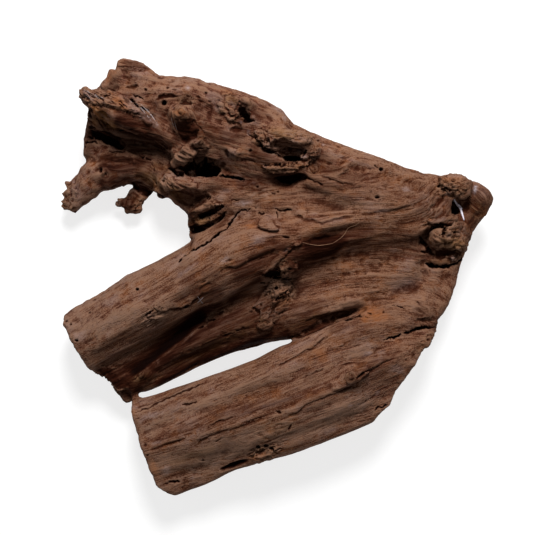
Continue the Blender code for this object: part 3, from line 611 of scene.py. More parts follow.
        (2.6, 7, 1, ((424.2, 263), (430.3, 265.6), (439.5, 267), (449.4, 266), (456.3, 263.3),
            (462.4, 258.7))),
        (1.8, 2.6, 0.75, ((419.6, 236.5), (424.2, 241.9), (428.8, 248), (433.4, 255.6))),
        (2, 2.5, 0.8, ((421, 251.8), (430, 252.5))),
        (2.6, 4, 0.9, ((429, 231), (434, 226.5), (441, 225), (449, 224.5))),
        (2, 4, 0.9, ((446.5, 225.8), (444.5, 231), (443, 237))),
        (2.4, 5, 0.92, ((345.3, 320), (352, 318), (359, 315.8), (361.4, 317))),
        (1.6, 5, 1, ((383.6, 339.7), (388, 338.8), (397.3, 337), (400.4, 335), (403.5, 333.6))),
        (2.4, 6, 1, ((402, 334.2), (410.3, 331.3), (418, 328.6), (425.6, 327.8), (434, 327.2))),
        (1.3, 2.5, 0.95, ((390.4, 306), (395.8, 306.4), (402, 307.5), (405, 309))),
        (0.9, 1, 0.5, ((408, 306), (412.6, 306.8))), (0.9, 1, 0.5, ((417.2, 302.2), (421.8, 304.5))),
        (1.3, 2.5, 0.9, ((366.7, 311.8), (372.8, 314.4))), (1.1, 2, 0.8, ((364.4, 316), (368.3, 317.5))),
        (1.8, 3.4, 0.85, ((356, 379.5), (363, 374), (373.6, 367.2))),
        (0.9, 1.2, 0.5, ((339.2, 347.7), (347.6, 342))),
        (2, 3, 1, ((374.7, 410.4), (377.8, 407.3), (383, 406.5), (388, 404.3))),
        (1.7, 1.7, 0.62, ((135.8, 412.3), (147.4, 408.2), (161.5, 400.7), (173.9, 395.8), (190.5, 389),
            (205.4, 381.7))),
        (1.4, 1.2, 0.4, ((273.8, 367.2), (285.3, 361.9), (302, 352.7), (312, 348), (327.4, 335),
            (333.5, 332.8))),
        (2, 1.8, 0.8, ((183, 404.9), (190.5, 404), (197, 400.7))),
        (1.3, 1.5, 0.5, ((207.9, 427.7), (216.2, 422.3), (224.5, 420.6), (236, 416.5))),
        (1.3, 1.2, 0.45, ((213.7, 442.2), (222, 438))),
        (1.3, 1.3, 0.5, ((240, 424.7), (255.3, 418.6), (270.6, 414.5))),
        (1.7, 2.6, 0.85, ((164.8, 483.2), (171.4, 482), (181.4, 480.7))),
        (1.6, 1.2, 0.55, ((302, 378.7), (312, 374), (325, 368.8))),
        (1.3, 2.2, 0.8, ((219.7, 336.4), (225.8, 335.3), (236.5, 331), (250.3, 327.2))),
        (1.4, 2, 0.75, ((144.3, 316.4), (154, 310.2))), (1.4, 2, 0.75, ((148.8, 322.7), (152.3, 320))),
        (1.4, 2, 0.75, ((181.4, 308), (190.6, 305))),
        (1, 1.2, 0.6, ((257, 260), (271, 254.5), (280, 251.5))),
        (2, 4, 1, ((273, 277), (281.5, 278.2), (287, 278.5), (291.3, 280))),
        (1.7, 3, 1, ((290, 288.3), (284.3, 293.2), (278.7, 296.7), (275.2, 303))),
        (1.2, 1.6, 0.7, ((255, 310), (259, 312.5))), (1.4, 2, 0.8, ((261, 283), (266, 283.4))),
        (1.8, 2, 0.8, ((207, 321), (212, 320), (217, 319.5))), (1.8, 2, 0.8, ((198, 328), (205, 326.5))),
        (1.8, 2, 0.7, ((218, 314.5), (224, 311))), (2.2, 1.8, 0.6, ((288, 430.8), (291, 424))),
        (1.2, 1.2, 0.5, ((297, 168), (308, 166), (314, 163))), (1.4, 2, 0.8, ((269, 192), (276, 194.5))),
        (1, 1.4, 0.6, ((310, 170), (314, 173), (319, 171), (318, 166), (313, 165))),
        (1.2, 1.6, 0.7, ((133.5, 380), (138, 376), (144, 371))),
        (1.4, 2.2, 0.7, ((441, 190), (446, 189), (451, 193))),
        (1.2, 2, 0.6, ((187, 115), (196, 122), (207, 136))),
    ),
    # broad grooves: width, depth, strength of the painted shade in them, points
    "grooves": (
        (6, 5, 0.9, ((118, 379), (133, 371), (148.8, 359), (162, 348), (175, 338), (190, 325), (206, 314),
            (220, 305))),
        (3, 2, 0.5, ((225, 305), (240.3, 294), (255, 283), (268, 275))),
        (3.5, 2, 0.35, ((245, 262.4), (260, 258), (276.6, 248.3))),
        (3.5, 1.8, 0.3, ((184, 376), (215, 363), (250, 349), (275, 340))),
        (3, 1.5, 0.25, ((300, 188), (325, 195), (350, 190))),
        (4, 1.2, 0.15, ((205, 455), (240, 440), (290, 425), (340, 405))),
    ),
    # small pits, painted darker with shade the deeper they are: across, down, half length, half width, turn,
    # depth
    "pits": (
        (164, 102.7, 2.3, 2.3, 0, 6), (380.9, 169.3, 2, 2, 0, 6), (377.2, 197.2, 2.1, 1.3, 0, 5),
        (137.1, 289.2, 1.4, 1.3, 0, 4), (278.8, 412.2, 2.4, 1.3, -25, 2.6), (100.3, 170, 1.6, 2.6, 0, 4),
        (105.8, 174.6, 1, 1.6, 0, 1.4), (145.5, 89.7, 1.6, 1.3, -30, 2.5), (167.5, 87.4, 1.6, 1.4, 0, 2.5),
        (206, 93, 1.4, 1.1, 0, 2), (250, 150.8, 1.6, 1.4, 0, 3), (257.3, 186.6, 1.7, 1.4, 0, 3),
        (383.6, 311.8, 1.2, 1.4, 30, 2.5), (275.9, 288.3, 1.8, 1.5, 0, 3), (66.4, 321.3, 1.9, 1, 15, 2.5),
        (70.4, 324.5, 1.7, 1.1, 30, 2.5), (76.4, 340.5, 1.6, 1.3, 0, 3), (453.3, 180.3, 2.2, 1.4, 0, 3),
        (439.5, 180, 1.4, 1.8, 0, 2.5), (163.4, 181, 1.1, 1.1, 0, 2), (156, 183, 1.1, 0.9, 0, 2),
        (442, 186, 2, 1.3, -20, 3), (446, 188.5, 1.8, 1.3, -20, 3), (450, 190.5, 1.7, 1.2, -20, 3),
        (438.5, 186.5, 1.4, 1.2, 0, 2.5), (454.8, 232.6, 1.6, 1.2, 0, 2.5), (89.8, 312.9, 1.4, 0.9, 30, 1.5),
        (144.9, 445.5, 1.6, 1.8, 0, 1.5), (147.4, 455.5, 1.4, 1, 30, 1.5), (203, 460.4, 1.2, 0.9, 20, 1.5),
        (258, 447, 2, 1.6, 0, 3), (266, 446, 2.4, 1.5, 10, 3), (272, 449, 2, 1.3, -20, 3),
        (318.3, 140.6, 1.3, 1, 0, 1.5), (329.2, 163.8, 2, 1, 0, 1.2), (428.7, 339.7, 1.6, 1.4, 0, 2.5),
        (84.5, 147, 1, 1.6, 0, 2), (278, 191.8, 1.2, 1.2, 0, 2), (198.4, 97, 2.2, 1, -10, 1.8),
        (209.6, 101.4, 1.8, 0.9, -25, 1.8), (174, 89.5, 2.5, 0.9, -6, 1.8), (209, 198, 1.4, 2.2, -35, 2.5),
        (289.5, 269, 1.3, 1.3, 0, 2.5), (295, 266.5, 1.3, 1.5, 0, 2.5), (284, 273, 1.5, 1.2, 0, 2.5),
        (251, 312, 1.2, 1.2, 0, 2), (261, 305, 1.4, 1.1, 40, 2),
    ),
    # frayed patches, where single fibres stand up: across, down, half length, half width, turn, height
    "frayed": (
        (114, 100, 36, 9, -30, 0.8), (140, 124, 22, 10, -38, 0.6), (105, 117, 18, 9, -38, 0.5),
        (238, 108, 14, 13, -20, 0.7), (262, 139, 13, 10, -30, 0.5), (285, 168, 25, 7, 4, 0.8),
        (275, 300, 17, 30, -24, 0.5), (430, 207, 9, 12, 50, 0.4), (205, 216, 20, 13, 25, 0.6),
        (153, 316, 18, 11, 28, 0.4), (106, 376, 18, 9, 32, 0.5), (265, 452, 20, 8, 12, 0.6),
        (292, 250, 12, 5, 42, 0.5), (185, 158, 14, 9, -40, 0.6), (178, 183, 18, 7, 0, 0.5),
        (288, 137, 22, 7, -10, 0.4), (312, 157, 6, 14, -25, 0.7), (186, 130, 14, 16, -40, 0.4),
        (425, 322, 14, 6, 5, 0.5),
    ),
    # places broken into angular blocks: across, down, half length, half width, height, block size
    "blocks": (
        (453, 187, 18, 13, 1.3, 2.8), (452, 241, 19, 22, 1.5, 5), (131, 203, 13, 12, 0.7, 2.4),
        (69, 198, 10, 17, 0.7, 2.4), (287, 267, 12, 10, 1, 2.4), (106, 377, 15, 12, 0.8, 2.4),
    ),
    # crumbling patches: across, down, half length, half width, turn, height, grain size
    "crumbles": (
        (235, 328, 22, 10, 27, 0.7, 3.2), (190, 350, 24, 9, 28, 0.6, 3.4), (152, 374, 16, 9, 30, 0.6, 3),
        (97, 99, 16, 8, -25, 1.3, 2.6), (138, 110, 24, 7, -32, 1.2, 3), (180, 113, 8, 6, 0, 1, 2.2),
        (261, 139, 12, 10, -30, 1.6, 3), (285, 168, 22, 6, 4, 1.3, 2.6), (313, 157, 5, 13, -25, 1.5, 3),
        (314, 168, 8, 7, 0, 1, 2.6), (281, 298, 13, 26, -24, 1.3, 3.4), (265, 322, 11, 9, 0, 1.2, 3),
        (234, 154, 12, 7, -10, 1.3, 4), (153, 316, 17, 11, 28, 1.2, 3.6), (112, 374, 14, 8, 32, 0.8, 3),
        (350, 377, 8, 7, 40, 1, 2.4), (265, 452, 18, 8, 12, 2, 3.4), (226, 266, 9, 10, 0, 1, 3),
        (205, 287, 7, 8, 20, 1, 2.6), (262, 190, 22, 9, 0, 1, 3.2), (168, 182, 9, 9, 0, 1, 2.4),
        (222, 107, 7, 9, 0, 1.2, 3), (236, 120, 10, 6, -20, 1.4, 2.6), (86, 95, 10, 7, -35, 1.3, 1.8),
        (300, 138, 16, 9, -18, 1, 3.4), (202, 130, 10, 16, 30, 0.9, 3.4), (140, 148, 24, 7, -6, 1, 4),
        (205, 167, 18, 9, 0, 1.4, 3.2), (120, 160, 22, 10, 0, 0.8, 4), (216, 318, 20, 7, 30, 1.2, 3.4),
        (340, 172, 12, 7, 0, 0.7, 3.6), (430, 215, 8, 16, -20, 0.8, 3), (90, 112, 5, 14, 0, 1, 3),
        (186, 100, 12, 6, 0, 0.9, 2.6), (275, 430, 26, 12, 20, 0.35, 3.6), (425, 343, 6, 16, -35, 0.8, 3),
    ),
}

# Colours that lie on the wood in one place: across, down, half length, half width, turn, strength
stains = {
    "orange": (
        (123, 104, 10, 5, -32, 0.9), (99, 113, 12, 5, -40, 1), (110, 122, 12, 4, -34, 0.7),
        (372, 314, 15, 9, -8, 0.9), (321, 355, 7, 11, 30, 0.5), (251.5, 226, 6, 5, 30, 0.7),
        (429.5, 219.5, 2.5, 2, 0, 1), (111, 75, 4, 8, -30, 0.6), (154, 469, 4, 10, 20, 0.7),
        (486, 211, 9, 6, 45, 0.6), (225, 92, 6, 3, 0, 0.4), (205, 287, 7, 7, 0, 0.4),
        (350, 265, 8, 4, 0, 0.4), (180, 112.5, 8, 5, 0, 0.5), (452, 179, 14, 5, 0, 0.4),
        (166, 182, 8, 8, 0, 0.3), (284, 296, 9, 18, -25, 0.3), (262, 140, 9, 7, 0, 0.25),
        (134, 410, 3, 12, -10, 0.4), (300, 136, 9, 6, 0, 0.2), (470, 228, 4, 8, 20, 0.4),
    ),
    "ochre": (
        (102, 115, 10, 5, -45, 1), (110, 124, 13, 4, -28, 0.8), (96, 120, 4, 7, 0, 0.5),
        (150, 180, 17, 9, -32, 0.5), (176, 194, 12, 6, -28, 0.6), (160, 168, 12, 5, -10, 0.4),
        (200, 222, 14, 6, 25, 0.5), (452, 245, 13, 9, 0, 0.5), (140, 382, 22, 10, 30, 0.5),
        (215, 345, 50, 8, 27, 0.4), (232, 100, 6, 6, 0, 0.4), (286, 134, 20, 6, -12, 0.4),
        (440, 262, 14, 3, 0, 0.3), (475, 212, 8, 12, 30, 0.3), (300, 325, 30, 5, 25, 0.4),
        (195, 455, 30, 5, 18, 0.25),
    ),
    # patches of painted light: the wood is made lighter and greyer here to look more lit
    "paintedLight": (
        (200, 154, 18, 12, -10, 0.6), (197, 112, 6, 9, -30, 0.5), (164, 184, 6, 5, 0, 0.9),
        (292, 280, 10, 11, 30, 0.6), (400, 284, 20, 9, 18, 1), (418, 268, 8, 7, 0, 0.7),
        (344, 307, 24, 6, 12, 1), (118, 322, 32, 9, 32, 1), (185, 260, 9, 7, 20, 0.7),
        (340, 411, 36, 12, 17, 1), (222, 450, 40, 16, 22, 1), (172, 462, 28, 12, 18, 0.9),
        (155, 312, 24, 14, 30, 0.6), (183, 158, 10, 8, 0, 1), (166, 184, 9, 8, 0, 1),
        (200, 160, 14, 6, 0, 0.7), (315, 196, 20, 4, 0, 0.5), (320, 426, 60, 8, 19, 1),
        (120, 285, 62, 7, 31, 0.6), (114, 86, 9, 5, 0, 0.6), (138, 81, 10, 4, 0, 0.5),
        (206, 149, 8, 6, 0, 0.7), (284, 290, 32, 11, 0, 0.9), (400, 285, 20, 9, 15, 1),
        (421, 271, 8, 10, 0, 1), (352, 309, 12, 5, 10, 0.7), (362, 357, 8, 8, 0, 0.6),
        (335, 210, 10, 5, 0, 0.5), (426, 232, 6, 7, 0, 0.5), (254, 175, 10, 9, 0, 0.5),
        (245, 440, 26, 12, 20, 1), (105, 330, 20, 6, 36, 0.6), (180, 412, 34, 9, 18, 0.9),
        (155, 428, 14, 9, 18, 0.9), (80, 328, 20, 12, 30, 0.8), (130, 318, 14, 6, 30, 0.6),
        (360, 352, 16, 11, 40, 0.8), (355, 206, 36, 5, 3, 0.4), (128, 142, 26, 6, -14, 0.5),
        (345, 152, 60, 7, -19, 0.25), (205, 212, 8, 4, 20, 0.6), (283, 175, 10, 3, 0, 0.4),
        (75, 322, 10, 12, 30, 0.4), (250, 385, 50, 9, 22, 0.4), (150, 405, 14, 5, 18, 0.4),
        (425, 300, 14, 22, -30, 0.4), (455, 205, 8, 5, 0, 0.4), (110, 75, 20, 6, 30, 0.3),
        (180, 80, 30, 6, -4, 0.3),
    ),
    "pale": (
        (88, 95, 7, 3, -42, 0.8), (146, 118, 11, 3, -32, 0.75), (156, 125, 4, 3, 0, 0.6),
        (146, 114, 13, 0.9, -46, 0.9), (152, 117, 9, 0.7, -52, 0.8), (92, 96, 11, 0.8, -30, 0.8),
        (100, 97, 12, 0.7, -22, 0.6), (104, 117, 12, 1.6, -40, 0.45), (118, 121, 14, 1.4, -36, 0.35),
        (130, 109, 10, 1.2, -38, 0.5), (300, 138, 14, 2.4, -16, 0.4), (232, 104, 5, 2.6, -30, 0.45),
        (455, 176, 12, 2, 0, 0.3), (350, 160, 30, 1.6, -18, 0.3), (188, 88, 2.4, 3, 20, 1.15),
        (134, 108, 17, 5, -42, 0.45), (241.5, 203.5, 8, 3, 8, 0.9), (225, 191, 7, 2.5, 10, 0.5),
        (259, 240, 11, 4, 30, 0.6), (286.4, 249.7, 4.5, 1.6, 42, 1), (405.3, 189.8, 5, 2.2, 20, 0.9),
        (381, 211, 11, 1.6, 8, 0.5), (367, 353.4, 5, 2.4, 10, 1), (398, 370, 6, 5, 0, 0.6),
        (377.5, 393, 3, 2.6, 0, 0.5), (336, 335, 4.5, 2, 25, 0.8), (351, 405, 1.4, 1.6, 0, 0.8),
        (287, 280.6, 1.6, 1.6, 0, 1), (224.5, 260, 6, 3, 30, 0.6), (187, 270, 14, 2.2, 38, 0.6),
        (112, 300, 10, 5, 30, 0.35), (80, 336, 7, 5, 30, 0.5), (151, 416, 12, 3.4, 18, 0.6),
        (166, 469.5, 4, 6, 0, 0.5), (158, 442, 6, 2, 18, 0.6), (475.5, 190, 2.6, 6.5, -8, 1.35),
        (213, 97, 9, 6, -20, 0.45), (280, 109, 9, 5, -35, 0.45), (232, 153, 9, 5, 0, 0.45),
        (332, 430, 7, 3, 20, 0.4), (284.3, 118.2, 2.2, 2.2, 0, 0.9), (249, 132, 1.6, 2.4, -20, 1),
        (248.5, 133, 1.6, 3.2, 10, 1.4), (241, 121.8, 3.4, 1.4, -10, 1.3), (303.5, 157, 4, 2.2, 30, 0.8),
        (77, 192, 7, 9, 0, 0.35), (73.6, 181.6, 1.7, 1.6, 0, 0.8), (91.5, 190.7, 2.2, 1, 0, 0.7),
        (104.8, 167.5, 2.2, 1.3, 0, 0.8), (254, 183, 2.6, 2.6, 0, 0.5), (440, 220, 9, 1.8, 14, 0.5),
        (449, 236, 3, 4, 0, 0.4), (453, 258, 3.4, 3, 0, 0.6), (218, 108, 5, 4, 0, 0.45),
        (134, 408, 4, 4, 0, 0.5), (172, 262, 16, 3, 32, 0.3), (200, 250, 16, 3, 33, 0.3),
        (345, 331, 10, 3, 28, 0.3), (300, 345, 22, 3, 24, 0.3), (323, 144.8, 1.6, 1.4, 0, 0.8),
        (270, 405, 26, 2, 18, 0.3), (484, 193, 7, 5, -30, 0.3), (448, 194, 3, 2, 0, 0.5),
        (135, 112, 5, 2.4, -40, 0.6), (190, 268, 8, 1.4, 40, 0.4), (120, 350, 20, 2, 30, 0.15),
        (300, 150, 8, 2, 0, 0.35), (270, 217, 9, 4, -5, 0.25), (405, 284, 14, 6, 18, 0.45),
        (345, 250, 14, 3, 6, 0.15), (333, 221, 14, 3, 6, 0.3),
    ),
}

# Tips and rims that broke off ragged: across, down, half length, half width, turn, jaggedness
raggedEnds = (
    (66, 198, 8, 20, -25, 1.3), (131, 209, 15, 6, 0, 1.2), (124, 184, 6, 4, 0, 1), (82, 93, 5, 8, -20, 1.5),
    (112, 74, 6, 12, -35, 0.25), (263, 459, 12, 5, 12, 1.8), (108, 382, 16, 5, -48, 0.8),
    (434, 325, 5, 8, 0, 1.2), (384, 412, 8, 6, 40, 1.2), (148, 455, 5, 26, 18, 0.4),
    (84, 352, 5, 30, 32, 0.4), (415, 360, 6, 40, -35, 0.4),
)


# Small sideways shifts that bring the rim onto its place, in pixels: reach, then the run along the rim
# with the shift to the right and the shift down at each spot
rimShifts = (
    (6, ((80, 93, 0.6, 0), (83, 87, 0.3, 1), (91, 88, 0, 3.4), (100, 81, 1.6, 2), (106, 77, 2, 1.4),
        (111, 73, -0.4, 0), (115.5, 68.5, -3.6, -2.6), (120, 64, -3.4, -2.6), (128, 60, 0, -0.2),
        (136, 60, 0, 0.6), (148, 66, 0, 2.4), (160, 71, -1, 6.4), (173, 75, -0.5, 2.8), (190, 76, 0, -2))),
    (9, ((190, 76, 0, -2), (206, 80, 0, 1.2), (220, 84, 0, 1.8), (240, 91, 0, -0.6), (258, 97, 0, -1.6),
        (276, 105, -0.5, 0.4), (286, 112, -2.6, 2.4), (295, 121, -4.2, 6.8), (304, 129, -1.6, 4),
        (314, 134, -0.5, 0.6), (330, 141, 0, 1.2), (345, 147, 0, 3), (360, 151, 0, 4.6), (375, 157, 0, 6.4),
        (392, 162, 0, 5.8), (408, 167, 0, 4.6), (424, 171, 0, 3.2), (440, 175, 0, 0.6))),
    (7, ((440, 175, 0, 0.6), (455, 175, 0, 3.6), (466, 177, -0.5, 3.8), (476, 182, -1.6, 3.2),
        (486, 188, -1.2, 1.4), (492, 198, 1.2, 0), (489, 209, -2.2, -1), (482, 218, -4.8, -3),
        (474, 229, -3, -1.2), (469, 242, 0.4, 0.5), (464, 254, 3, 0.5), (458, 268, 2.4, 0.5),
        (453, 284, 3.2, 0.5), (448, 299, 1.4, 0.5), (442, 312, 0, 0), (436, 321, -2.2, 0))),
    (5, ((436, 321, -2.2, 0), (434, 331, 3.8, 0.4), (430, 343, -1.2, -0.6))),
    (7, ((430, 343, -1.2, -0.8), (423, 354, -3.4, -2), (414, 366, -1.8, -1.2), (404, 379, -1.2, -0.8),
        (395, 391, -1.8, -1), (388, 405, 2, 0.6), (382, 415, -0.8, 0))),
    (9, ((382, 415, -0.8, 0), (365, 424, 0.2, 0.2), (345, 431, 0.2, 1.2), (320, 441, 0.2, 1),
        (296, 451, 0, -1.6), (280, 457, 0, -2.8), (264, 464, 0, -3.4), (248, 468, 0, -2.6),
        (228, 473, 0, -1.6), (205, 484, 0, 1.8), (190, 490, 0, 3.2), (175, 493, -0.6, 3.4))),
    (7, ((175, 493, -0.6, 3.4), (163, 489, -2, 2.4), (155, 478, -1.6, 0.2), (149, 464, -1.8, 0),
        (143, 450, -2.4, 0), (139, 436, -2.6, 0), (135, 421, -2.6, 0), (132, 409, -1.6, 0.6))),
    (6, ((129, 399, 0, 2), (121, 392, 0.2, 2), (113, 384, -0.8, 1.4), (104, 376, 0.4, 0.6),
        (96, 371, -3, 6.2), (89, 365, -3, 4.4), (80, 352, 0.8, -0.6), (74, 343, 1.4, -0.8),
        (67, 330, -2.4, 0.8), (63, 321, -4.6, -0.4), (68, 314, -1.2, -0.6), (76, 307, -1.2, -1.2))),
    (9, ((76, 307, -1.2, -1.2), (88, 300, -0.2, 0), (100, 293, 0.8, 1.4), (113, 286, 1.2, 2),
        (128, 276, 0.4, 0.4), (150, 264, 1, 2.2), (165, 255, 1.2, 3), (178, 249, 1, 3.4))),
    (5, ((178, 249, 1, 3.4), (187, 245, 2, 3), (188, 238, 3, 1), (188, 233, -1, 0.6), (188, 229, -6, 0),
        (188, 222, -3.4, 0), (189, 214, -0.6, 1))),
    (6, ((189, 214, -0.6, 1), (184, 208, -1.6, 2.2), (175, 201, -1, 4), (165, 197, 0, 3.4),
        (155, 193, 0, 8.8), (148, 194, -0.5, 6))),
    (4, ((143, 207, -1.6, -0.4), (137, 213, -0.4, 0.4), (128, 212, -2, 0.8), (121, 205, -4.6, 1),
        (124, 197, -3.6, 0), (129, 190, -1.2, 0), (127, 183, 0, -1))),
    (6, ((118, 186, 0, 1.2), (110, 188, 0, 1.4), (96, 195, 0, 2.8), (84, 205, 0, 0), (76, 211, 0, 0.8))),
    (5, ((76, 211, 0, 0.8), (66, 208, -1.4, 1.8), (63, 200, -2, 0.6), (65, 190, -2.2, 0),
        (68, 183, -1.2, -0.8), (78, 174, 0.4, 0))),
    (6, ((78, 174, 0.4, 0), (84, 160, -3.2, 0), (82, 150, -2.6, 0), (84, 138, -1.6, 0), (88, 122, 0, 0),
        (85, 108, 0, 0))),
    (9, ((138, 393, 0, 0.4), (146, 389, 0, 3.8), (160, 381, 0.5, 6), (178, 373, 0.6, 5.4),
        (196, 365, 0.4, 5.2), (214, 357, 0.4, 5), (230, 350, 0.6, 4.8), (244, 346, 0.6, 5.4),
        (258, 343, 0.4, 5.2), (272, 340, 0.2, 2.6), (288, 338, 0, 2.4))),
    (7, ((138, 399, 0.6, 5.6), (150, 396, 0.6, 3.9), (170, 388, 0.5, 3), (195, 379, 0.3, 2),
        (225, 369, 0.3, 1.7), (255, 358, 0.3, 2.5), (280, 346, 0.2, 0))),
)


# Broken tips and spurs fused into the wood before its fine skin is made, each a cone with a round end.
# Root across, down and height, then the same of the tip, then both radii; heights and radii in millimetres.
spurs = (
    (136.6, 190, 14, 133.4, 203.6, 13, 5.2, 5.6), (127, 206.4, 12.5, 137, 206.8, 12.5, 4.4, 4.4),
    (126, 201, 14, 120.3, 198.6, 16, 2, 0.7), (125, 204, 12, 119.4, 202, 12, 2.4, 0.8),
    (138, 207, 13, 142, 204.4, 13, 2.2, 0.8), (119.5, 183, 21, 125, 185.6, 20, 2, 0.8),
    (124, 184.6, 20, 123.6, 187, 19, 1, 0.5), (68, 205, 16, 62, 205.6, 16, 3.6, 0.8),
    (73, 206.5, 15, 75.6, 212.6, 15, 3.4, 0.8), (69, 194, 18, 63.8, 193.4, 19, 2.6, 0.8),
    (69, 199, 18, 63.4, 200.4, 18, 2.8, 0.9), (72, 186.5, 18, 67.4, 184, 18, 3.4, 1.6),
    (84, 91, 57, 79.6, 91, 58, 2.2, 0.9), (85, 96, 56, 79.4, 95.4, 56, 2.6, 1),
    (84, 91, 58, 83.4, 88.4, 58, 1.8, 1), (122, 382, 19, 126.6, 395.4, 17, 8, 4.6),
    (129, 386, 19, 130.6, 394.4, 17, 7, 3.2),
)


def addSpurs(wood):
    added = []
    for x, y, height, tipX, tipY, tipHeight, radius, tipRadius in spurs:
        root = fromPicture(x, y, height * millimetre)
        tip = fromPicture(tipX, tipY, tipHeight * millimetre)
        way = tip - root
        bpy.ops.mesh.primitive_cone_add(vertices=12, radius1=radius * millimetre,
                                        radius2=tipRadius * millimetre,
                                        depth=way.length, location=(root + tip) / 2,
                                        rotation=way.to_track_quat("Z", "Y").to_euler())
        added.append(bpy.context.object)
        bpy.ops.mesh.primitive_ico_sphere_add(subdivisions=2, radius=tipRadius * millimetre, location=tip)
        added.append(bpy.context.object)
    selectOnly(wood)
    for item in added:
        item.select_set(True)
    bpy.ops.object.join()


def spurNearness(points):
    # 1 on the spurs, where smoothing would melt them, fading to 0 beside them
    near = np.zeros(len(points))
    for x, y, height, tipX, tipY, tipHeight, radius, tipRadius in spurs:
        if radius > 4:  # thick ones keep their shape by themselves
            continue
        tip = np.array(fromPicture(tipX, tipY, tipHeight * millimetre))
        away = np.linalg.norm(points - tip, axis=1) / millimetre
        near = np.maximum(near, smoothStep(-away, -2.2 * radius - 1.0, -radius))
    return near


def shiftRim(mesh):
    points = readPoints(mesh)
    across, down = toPicture(points)
    moved = np.zeros((len(points), 2))
    weight = np.zeros(len(points))
    for reach, run in rimShifts:
        line = [spot[:2] for spot in run]
        distance, place = lineDistance(across, down, line)[:2]
        near = np.exp(-(distance / reach) ** 2)
        reached = np.cumsum([0.0] + [math.dist(a, b) for a, b in zip(line, line[1:])])
        reached /= reached[-1]
        moved[:, 0] += near * np.interp(place, reached, [spot[2] for spot in run])
        moved[:, 1] -= near * np.interp(place, reached, [spot[3] for spot in run])
        weight += near
    points[:, :2] += moved / np.maximum(weight, 1.0)[:, None] * view["pixelSize"]
    writePoints(mesh, points)


def ovalRadius(across, down, x, y, half, width, turn):
    # 0 in the middle of an oval, 1 on its edge; a turn is counter-clockwise in the picture
    angle = math.radians(turn)
    dx = across - x
    dy = y - down
    length = (dx * math.cos(angle) + dy * math.sin(angle)) / half
    side = (dy * math.cos(angle) - dx * math.sin(angle)) / width
    return np.sqrt(length * length + side * side)


def lineDistance(across, down, points):
    # distance to a run of points, part of the way along it, and the side: above is positive
    best = np.full(len(across), 1e9)
    place = np.zeros(len(across))
    side = np.zeros(len(across))
    steps = [math.dist(a, b) for a, b in zip(points, points[1:])]
    whole = sum(steps)
    before = 0.0
    for (ax, ay), (bx, by), step in zip(points, points[1:], steps):
        part = np.clip(((across - ax) * (bx - ax) + (down - ay) * (by - ay)) / step ** 2, 0, 1)
        dx = across - ax - part * (bx - ax)
        dy = down - ay - part * (by - ay)
        distance = np.hypot(dx, dy)
        nearer = distance < best
        best = np.where(nearer, distance, best)
        place = np.where(nearer, (before + part * step) / whole, place)
        above = -((bx - ax) * (down - ay) - (by - ay) * (across - ax))
        side = np.where(nearer, np.sign(above), side)
        before += step
    return best, place, side


def outlineDistance(across, down, points):
    # how far inside an outline (negative outside), and how much its nearest side lies above
    best = np.full(len(across), 1e9)
    above = np.zeros(len(across))
    inside = np.zeros(len(across), bool)
    for (ax, ay), (bx, by) in zip(points, points[1:] + points[:1]):
        length = (bx - ax) ** 2 + (by - ay) ** 2
        part = np.clip(((across - ax) * (bx - ax) + (down - ay) * (by - ay)) / length, 0, 1)
        dx = across - ax - part * (bx - ax)
        dy = down - ay - part * (by - ay)
        distance = np.hypot(dx, dy)
        nearer = distance < best
        best = np.where(nearer, distance, best)
        above = np.where(nearer, dy / (distance + 1e-6), above)
        crosses = (ay > down) != (by > down)
        reach = ax + (down - ay) * (bx - ax) / (by - ay if by != ay else 1e-9)
        inside ^= crosses & (across < reach)
    return np.where(inside, best, -best), above


def nearLine(across, down, points, margin):
    # which points of the wood lie in the box round a line, with a margin in pixels
    xs, ys = zip(*points)
    inside = (across > min(xs) - margin) & (across < max(xs) + margin)
    inside &= (down > min(ys) - margin) & (down < max(ys) + margin)
    return np.nonzero(inside)[0]


def taperEnds(place, start, end):
    # 1 along a line, fading to 0 over the first and the last part of it
    return smoothStep(place, 0.0, start) * smoothStep(-place, -1.0, end - 1.0)


def deepen(values, chosen, amount):
    values[chosen] = np.maximum(values[chosen], amount)


# Noise that frays the carving: sizes in metres, then the share of each at an outline, in pixels
fray = {
    "raggedSize": 0.004,
    "crispSize": 0.0016,
    "plates": (0.45, 0.35),
    "pools": (0.5, 0.4),
    "shadows": (0.4, 0.0),
}


